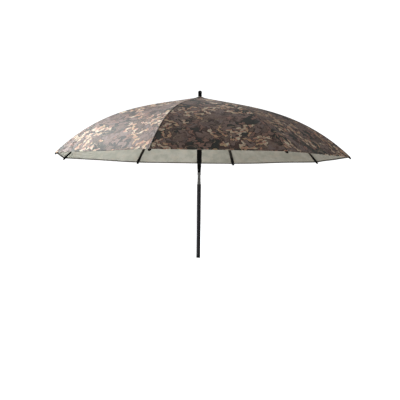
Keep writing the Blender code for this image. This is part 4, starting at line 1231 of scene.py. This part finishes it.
def printed_cloth(colours):
    """Woodland print on woven cloth, all layers made up for this canopy.

    From the back: mottled ground, bark and stone, large patches of dark moss, thin
    curling twigs along the level lines of a noise, and three kinds of leaves in groups.
    On top are specks, then painted light: a dark line of painted shade along the crease
    with bands of painted highlight beside it, and dark bands of painted shade along the seams.
    """
    paint = Paint("printed_cloth")
    cut = paint.cut()
    drift = paint.node(
        "ShaderNodeTexNoise", {"Vector": cut, "Scale": 9.0, "Detail": 2.0}, noise_dimensions="2D"
    )
    pull = paint.vector("SUBTRACT", drift.outputs["Color"], (0.5, 0.5, 0.5))
    at = paint.vector("ADD", cut, paint.vector("SCALE", pull, scale=0.07))
    grain = paint.print_noise(at, 55.0, 5.0, 0.70)
    blotch = paint.print_noise(at, 10.0, 3.0, 0.6)
    tone = paint.mix(paint.step(blotch + grain * 0.5, 0.66, 0.86), colours.ground, colours.bark)
    stone = paint.print_noise(paint.shifted(at, 3.1, 5.7), 13.0, 3.0, 0.6)
    tone = paint.mix(paint.step(stone + grain * 0.5, 0.76, 0.90) * 0.7, tone, colours.stone)
    moss = paint.print_noise(paint.shifted(at, 8.3, 1.9), 5.0)
    tone = paint.mix(paint.step(moss + grain * 0.2, 0.62, 0.67) * 0.9, tone, colours.moss)

    mask, surround, veins, tint = leaf_layer(paint, at, **DARK_LEAVES)
    tone = paint.mix(surround * 0.7, tone, colours.shadow)
    leaf = paint.mix(tint, colours.moss, colours.bark)
    tone = paint.mix(mask * 0.85, tone, paint.mix(veins * 0.6, leaf, colours.shadow))

    lines = paint.print_noise(paint.shifted(at, 1.7, 9.2), 12.0, 1.0, 0.4)
    level = abs(paint.maths("PINGPONG", lines * 3.0, 0.5) - 0.25)
    some = paint.step(paint.print_noise(cut, 7.0, 1.0), 0.48, 0.54)
    tone = paint.mix(paint.step(level, 0.085, 0.03) * some * 0.7, tone, colours.shadow)
    twig = paint.mix(grain, colours.stone, colours.tan)
    tone = paint.mix(paint.step(level, 0.040, 0.020) * some * 0.8, tone, twig)

    mask, surround, veins, tint = leaf_layer(paint, at, **RUST_LEAVES)
    tone = paint.mix(surround * 0.9, tone, colours.shadow)
    leaf = paint.mix(paint.step(tint, 0.3, 0.8), colours.rust, colours.stone)
    leaf = paint.mix(paint.step(grain, 0.42, 0.62) * 0.6, colours.bark, leaf)
    tone = paint.mix(mask, tone, paint.mix(veins * 0.5, leaf, colours.ground))

    mask, surround, veins, tint = leaf_layer(paint, paint.shifted(at, 4.4, 2.6), **DRY_LEAVES)
    tone = paint.mix(surround * 0.95, tone, colours.shadow)
    leaf = paint.mix(paint.step(tint, 0.3, 0.8), colours.tan, colours.cream)
    leaf = paint.mix(paint.step(grain, 0.40, 0.58), colours.rust, leaf)
    tone = paint.mix(mask, tone, paint.mix(veins * 0.4, leaf, colours.bark))

    speck = paint.print_noise(cut, 190.0, 3.0, 0.7)
    tone = paint.mix(paint.step(speck, 0.60, 0.72) * 0.45, tone, colours.stone)
    tone = paint.mix(paint.step(speck, 0.42, 0.28) * 0.55, tone, colours.shadow)
    off, away, _ = paint.split(paint.node("ShaderNodeUVMap", uv_map="seams").outputs[0])
    # Painted shade: a dark line along the valley of the crease
    crease = (1.8 - abs(off) / CREASE_SHADE_WIDTH).clip() * 0.92
    # Painted shade: a dark band along each seam
    seam = (2.0 - away / SEAM_SHADE_WIDTH).clip() * 0.6
    # Painted highlight: lighter bands on both sides of the crease
    wear_and_highlight, edge = paint.band(off, LEFT_HIGHLIGHT_BAND), paint.band(off, RIGHT_HIGHLIGHT_BAND)
    tone = paint.mix(paint.maths("MAXIMUM", wear_and_highlight * 0.35, edge * 0.4), tone, colours.stone)
    tone = paint.mix(paint.maths("MAXIMUM", crease, seam), tone, colours.shadow)
    return finish_cloth(paint, tone, cut, grain)


def finish_cloth(paint, tone, cut, grain):
    """Plain weave, its threads' unevenness, and the sheen of proofed cloth."""
    x, y, _ = paint.split(cut)
    warp = paint.maths("SINE", x * (math.tau / THREAD))
    weft = paint.maths("SINE", y * (math.tau / THREAD))
    slubs = paint.print_noise(cut, 420.0, 2.0, 0.6)
    weave = warp * weft * 0.5 + slubs * 0.9
    cockle = paint.print_noise(cut, 34.0, 3.0, 0.55)
    normal = paint.bump(cockle, 0.0024, 0.8)
    normal = paint.bump(weave, 0.00012, 0.6, below=normal)
    return paint.set(
        base_color=tone, roughness=0.50 + grain * 0.16, normal=normal,
        sheen_weight=0.03, sheen_roughness=0.5, specular_ior_level=0.2,
    )


def lining_cloth(colours):
    """Plain grey-green inner side, with the print's large shapes faintly through it."""
    paint = Paint("lining_cloth")
    cut, plain = paint.cut(), colours.lining
    grain = paint.print_noise(cut, 60.0, 4.0, 0.65)
    ghost = paint.print_noise(cut, 13.0, 3.0, 0.6)
    tone = paint.mix(paint.step(ghost, 0.35, 0.65), shade(plain, 0.80, 0.82, 0.80), plain)
    other = paint.print_noise(paint.shifted(cut, 7.0, 3.0), 18.0)
    warmer = shade(plain, 1.02, 0.95, 0.90)
    tone = paint.mix(paint.step(other, 0.52, 0.66) * 0.5, tone, warmer)
    return finish_cloth(paint, tone, cut, grain)


def tape_cloth(colours):
    """Dark woven tape inside the seams, by object coordinates."""
    paint = Paint("seam_tape")
    at = paint.place()
    grain = paint.noise(at, 900.0, 3.0, 0.6)
    fleck = paint.noise(at, 120.0, 3.0, 0.6)
    tone = paint.mix(fleck, colours.seal, shade(colours.seal, 1.6, 1.5, 1.4))
    normal = paint.bump(grain, 0.0003, 0.8)
    return paint.set(base_color=tone, roughness=0.72 + fleck * 0.15, normal=normal)


def sewing_thread(colours):
    """Twisted dark thread."""
    paint = Paint("sewing_thread")
    twist = paint.noise(paint.place(), 2200.0, 1.0)
    tone = paint.mix(twist, colours.thread, shade(colours.thread, 3, 3, 2.8))
    return paint.set(base_color=tone, roughness=0.6 + twist * 0.2, sheen_weight=0.2)


DUST = (0.05, 0.048, 0.044)


def black_plastic(colours):
    """Moulded plastic: fine spark-eroded grain, faint flow marks and dusty scuffs."""
    paint = Paint("black_plastic")
    at = paint.place()
    grain = paint.noise(at, 2600.0, 2.0, 0.6)
    flow = paint.noise(at, 55.0, 3.0, 0.6)
    scuff = paint.step(paint.noise(at, 260.0, 4.0, 0.75), 0.62, 0.80)
    tone = paint.mix(flow * 0.6, colours.plastic, shade(colours.plastic, 1.7))
    tone = paint.mix(scuff * 0.15, tone, DUST)
    normal = paint.bump(grain, 0.00012, 0.7)
    return paint.set(
        base_color=tone, roughness=0.42 + flow * 0.10 + scuff * 0.18, normal=normal,
        specular_ior_level=0.12,
    )


def coated_metal(name, base, streak_scale, rubbed):
    """Powder-coated steel: orange peel, streaks along the tube and rubbed patches."""
    paint = Paint(name)
    at = paint.place()
    peel = paint.noise(at, 700.0, 2.0, 0.5)
    streak = paint.noise(paint.stretched(at, streak_scale), 300.0, 3.0, 0.6)
    wear_and_highlight = paint.step(paint.noise(at, 38.0, 4.0, 0.7), 0.58, 0.74)
    tone = paint.mix(streak, base, shade(base, 1.35, 1.35, 1.3))
    tone = paint.mix(wear_and_highlight * rubbed, tone, shade(base, 2.2, 2.2, 2.0))
    normal = paint.bump(peel, 0.00012, 0.5)
    return paint.set(
        base_color=tone, roughness=0.38 + streak * 0.12 + wear_and_highlight * 0.12, normal=normal,
        specular_ior_level=0.25,
    )


def zinc_plate(colours):
    """Bright zinc: soft spangle, fine scratches and dull grey handling marks."""
    paint = Paint("zinc_plate")
    at = paint.place()
    spangle = paint.noise(at, 140.0, 2.0, 0.5)
    scratch = paint.noise(paint.stretched(at, (6.0, 6.0, 0.4)), 500.0, 3.0, 0.65)
    dull = paint.step(paint.noise(at, 60.0, 3.0, 0.65), 0.48, 0.66)
    tone = paint.mix(spangle, shade(colours.zinc, 0.8, 0.8, 0.82), colours.zinc)
    tone = paint.mix(dull * 0.5, tone, shade(colours.zinc, 0.42, 0.41, 0.38))
    normal = paint.bump(scratch, 0.0001, 0.6)
    return paint.set(
        base_color=tone, metallic=1.0, roughness=0.22 + scratch * 0.16 + dull * 0.2,
        normal=normal,
    )


def studio_white(settings):
    """Pale matt paper of the floor and backdrop, with a faint unevenness."""
    paint = Paint("studio_paper")
    cloud = paint.noise(paint.place(), 1.3, 3.0, 0.5)
    tone = paint.mix(cloud, shade(settings.floor, 0.985), settings.floor)
    return paint.set(
        base_color=tone, roughness=0.9, specular_ior_level=0.2,
        emission_color=(1, 1, 1), emission_strength=settings.glow,
    )


NODE_FINISHES = {
    "black_plastic": ("end_cap", "crown", "finial", "runner", "tilt_ferrule"),
    "coated_tube": ("lower_tube", "upper_tube"),
    "zinc_plate": ("tilt_tongue", "tilt_fork", "tilt_rivet", "crown_wire", "lock_pin"),
}
RIB_NODE_FINISHES = {
    "coated_rod": ("rib", "stretcher"),
    "black_plastic": ("rib_tip", "rib_clip"),
    "zinc_plate": ("rib_rivet",),
}


class UMBRELLA_OT_finishes(bpy.types.Operator):
    """Gives the fittings' CAD nodes, listed by material slot, their procedural finishes"""

    bl_idname = "umbrella.finishes"
    bl_label = "Finishes of the fittings"

    def execute(self, context):
        colours = context.scene.umbrella_fittings
        made = {
            "black_plastic": black_plastic(colours),
            "coated_tube": coated_metal("coated_tube", colours.tube, (1.0, 1.0, 0.05), 0.25),
            "coated_rod": coated_metal("coated_rod", colours.rod, (1.0, 1.0, 1.0), 0.35),
            "zinc_plate": zinc_plate(colours),
        }
        finishes = [(node, made[slot]) for slot, nodes in NODE_FINISHES.items() for node in nodes]
        for slot, families in RIB_NODE_FINISHES.items():
            finishes += [(f"{kind}_{n}", made[slot]) for kind in families for n in RIB_NUMBERS]
        for node, material in finishes:
            mesh = frame["nodes"][node].data
            mesh.materials.clear()
            mesh.materials.append(material)
        return {"FINISHED"}


def stands_for(piece, body, node):
    """Puts a finer piece in a CAD node's place, with the node's finish."""
    piece.data.materials.append(frame["nodes"][node].data.materials[0])
    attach(piece, body)
    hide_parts(node)
    return piece


class UMBRELLA_OT_pole(bpy.types.Operator):
    """Makes the tubes, end cap, cone, finial and runner round in place of the faceted ones"""

    bl_idname = "umbrella.pole"
    bl_label = "Pole and runner"

    def execute(self, context):
        sizes = context.scene.umbrella_sizes
        _, lock_height, travel = lock_place()
        lower = make_tube(sizes, "pole_lower", "lower_tube", lock_height - travel)
        stands_for(lower, "pole", "lower_tube")
        bpy.data.collections["side_lit"].objects.link(lower)
        stands_for(make_tube(sizes, "pole_upper", "upper_tube", lock_height), "pole", "upper_tube")
        stands_for(make_end_cap(sizes), "pole", "end_cap")
        stands_for(make_finial(sizes), "pole", "finial")
        stands_for(make_cone(sizes), "pole", "tilt_ferrule")
        stands_for(make_runner(sizes), "runner", "runner")
        return {"FINISHED"}


class UMBRELLA_OT_rods(bpy.types.Operator):
    """Makes round ribs, rib caps and stretchers in place of the faceted ones"""

    bl_idname = "umbrella.rods"
    bl_label = "Ribs and stretchers"

    def execute(self, context):
        line = RibLine(Canopy(context.scene.umbrella_canopy), context.scene.umbrella_sizes)
        for n in RIB_NUMBERS:
            stands_for(make_rib(line, n), f"rib_{n}", f"rib_{n}")
            stands_for(make_tip(line, n), f"rib_{n}", f"rib_tip_{n}")
            stands_for(make_stretcher(line, n), f"stretcher_{n}", f"stretcher_{n}")
        return {"FINISHED"}


class UMBRELLA_OT_canopy(bpy.types.Operator):
    """Makes the canopy's cloth, hem, seam tape and stitching, one of each over every rib"""

    bl_idname = "umbrella.canopy"
    bl_label = "Canopy"

    def execute(self, context):
        sizes, colours = context.scene.umbrella_canopy, context.scene.umbrella_print
        canopy = Canopy(sizes)
        outside, inside = printed_cloth(colours), lining_cloth(colours)
        seal, thread = tape_cloth(colours), sewing_thread(colours)
        for number in RIB_NUMBERS:
            cloth, edging = make_cloth(canopy, number), make_tape(canopy, number)
            sealing, sewing = make_seal(canopy, number), make_stitches(canopy, number)
            dressed = (
                (cloth, (outside, inside)), (edging, (outside, seal)),
                (sealing, (seal,)), (sewing, (thread,)),
            )
            for piece, materials in dressed:
                for material in materials:
                    piece.data.materials.append(material)
                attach(piece, f"rib_{number}")
                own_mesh(piece)
            for piece in (cloth, edging):
                for lit in ("canopy_cloth", "side_lit"):
                    bpy.data.collections[lit].objects.link(piece)
            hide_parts(f"canopy_panel_{number}")
        return {"FINISHED"}


FLOOR_RADIUS = 8.0  # metres, to where it bends up
FLOOR_BEND = 4.0
FLOOR_SIDES = 72
WALL_TOP = 10.0
FILL_SPREAD = math.radians(64)
LIGHTS = {  # place, what it shines at, length of its side, tint
    "key": ((-4.6, 2.2, 2.6), (0, 0, 0.8), 2.0, (0.82, 0.93, 1)),
    "side": ((-2.5, -0.35, 0.3), (0, 0, 0.45), 1.0, (1, 1, 1)),
    "base": ((0, 0, 0.03), (0, 0.001, 1), 3.0, (1, 0.88, 0.76)),
    "veil": ((-3.1, 1.5, 3.2), (-0.4, -0.4, 0.85), 2.8, (1, 1, 1)),
    "fill": ((1.35, -0.4, 0.04), (-0.88, 0.30, 0.8), 0.4, (0.93, 0.98, 1)),
}
LIT = {  # light: the only pieces that it reaches
    "veil": "canopy_cloth", "fill": "canopy_cloth", "side": "side_lit",
}


def make_floor(settings):
    """Floor: a flat disc that bends up into a round wall, turned about the pole's axis."""
    bend = np.linspace(0, math.pi / 2, 20)
    wall = FLOOR_RADIUS + FLOOR_BEND
    flat, middle = [MILLIMETRE, 2, 4, 6], (FLOOR_BEND + WALL_TOP) / 2
    radius = np.concatenate([flat, FLOOR_RADIUS + FLOOR_BEND * np.sin(bend), [wall, wall]])
    height = np.concatenate([np.zeros(4), FLOOR_BEND * (1 - np.cos(bend)), [middle, WALL_TOP]])
    skin = Skin()
    rings = turned_rings(np.stack([radius, height], axis=-1), FLOOR_SIDES)
    skin.add(rings, quads(len(radius), FLOOR_SIDES, around=True))
    floor = skin.object("studio_floor")
    floor.data.materials.append(studio_white(settings))
    floor.visible_diffuse = floor.visible_glossy = False


def area_light(name, power, place, target, size, tint):
    """Square soft light that shines from a place to a target, not seen by the camera."""
    data = bpy.data.lights.new(name, "AREA")
    data.shape, data.size, data.energy, data.color = "SQUARE", size, power, tint
    lamp = bpy.data.objects.new(name, data)
    way = (Vector(target) - Vector(place)).to_track_quat("-Z", "Y")
    lamp.matrix_world = Matrix.Translation(place) @ way.to_matrix().to_4x4()
    lamp.visible_camera = False
    bpy.context.scene.collection.objects.link(lamp)
    return lamp


class UMBRELLA_OT_stage(bpy.types.Operator):
    """Sets the pale floor with its backdrop, the soft lights and the camera"""

    bl_idname = "umbrella.stage"
    bl_label = "Stage"

    def execute(self, context):
        scene = context.scene
        settings = scene.umbrella_studio
        make_floor(settings)
        world = bpy.data.worlds.new("studio_white")
        world.use_nodes = True
        background = world.node_tree.nodes["Background"]
        background.inputs["Color"].default_value = (1, 1, 1, 1)
        background.inputs["Strength"].default_value = settings.sky
        scene.world = world
        lights = {
            name: area_light(name, getattr(settings, name), *where)
            for name, where in LIGHTS.items()
        }
        lights["fill"].data.spread = FILL_SPREAD
        lights["veil"].visible_diffuse = False
        lights["base"].visible_glossy = lights["key"].visible_glossy = False
        receivers = {name: bpy.data.collections.new(name) for name in sorted(set(LIT.values()))}
        for name, lit in LIT.items():
            lights[name].light_linking.receiver_collection = receivers[lit]

        lens = bpy.data.cameras.new("camera")
        lens.sensor_width, lens.lens = 36.0, settings.lens
        lens.shift_x, lens.shift_y = settings.shift_x, settings.shift_y
        camera = bpy.data.objects.new("camera", lens)
        level = Matrix.Rotation(math.pi / 2, 4, "X") @ Matrix.Rotation(settings.roll, 4, "Z")
        place = Matrix.Translation((0, -settings.distance, settings.height))
        camera.matrix_world = place @ level
        scene.collection.objects.link(camera)
        scene.camera = camera
        scene.view_settings.view_transform = "Standard"
        return {"FINISHED"}


class UMBRELLA_PT_panel(bpy.types.Panel):
    """Lists the umbrella's operators and their settings"""

    bl_label = "Fishing umbrella"
    bl_idname = "UMBRELLA_PT_panel"
    bl_space_type = "VIEW_3D"
    bl_region_type = "UI"
    bl_category = "Umbrella"

    def draw(self, context):
        for operator in OPERATORS:
            self.layout.operator(operator.bl_idname)
        for name in SETTINGS:
            group = getattr(context.scene, name)
            box = self.layout.box()
            for key in group.bl_rna.properties.keys():
                if key not in ("rna_type", "name"):
                    box.prop(group, key)


SETTINGS = {
    "umbrella_canopy": CanopySizes,
    "umbrella_print": PrintColours,
    "umbrella_sizes": FittingSizes,
    "umbrella_fittings": FittingColours,
    "umbrella_studio": StudioSettings,
}
OPERATORS = (
    UMBRELLA_OT_stage, UMBRELLA_OT_finishes, UMBRELLA_OT_pole, UMBRELLA_OT_rods,
    UMBRELLA_OT_canopy,
)


def register():
    for made in (*SETTINGS.values(), *OPERATORS, UMBRELLA_PT_panel):
        bpy.utils.register_class(made)
    for name, group in SETTINGS.items():
        setattr(bpy.types.Scene, name, PointerProperty(type=group))


def unregister():
    for name in SETTINGS:
        delattr(bpy.types.Scene, name)
    for made in reversed((*SETTINGS.values(), *OPERATORS, UMBRELLA_PT_panel)):
        bpy.utils.unregister_class(made)


def main():
    register()
    for operator in OPERATORS:
        category, name = operator.bl_idname.split(".")
        getattr(getattr(bpy.ops, category), name)()


if __name__ == "__main__":
    main()
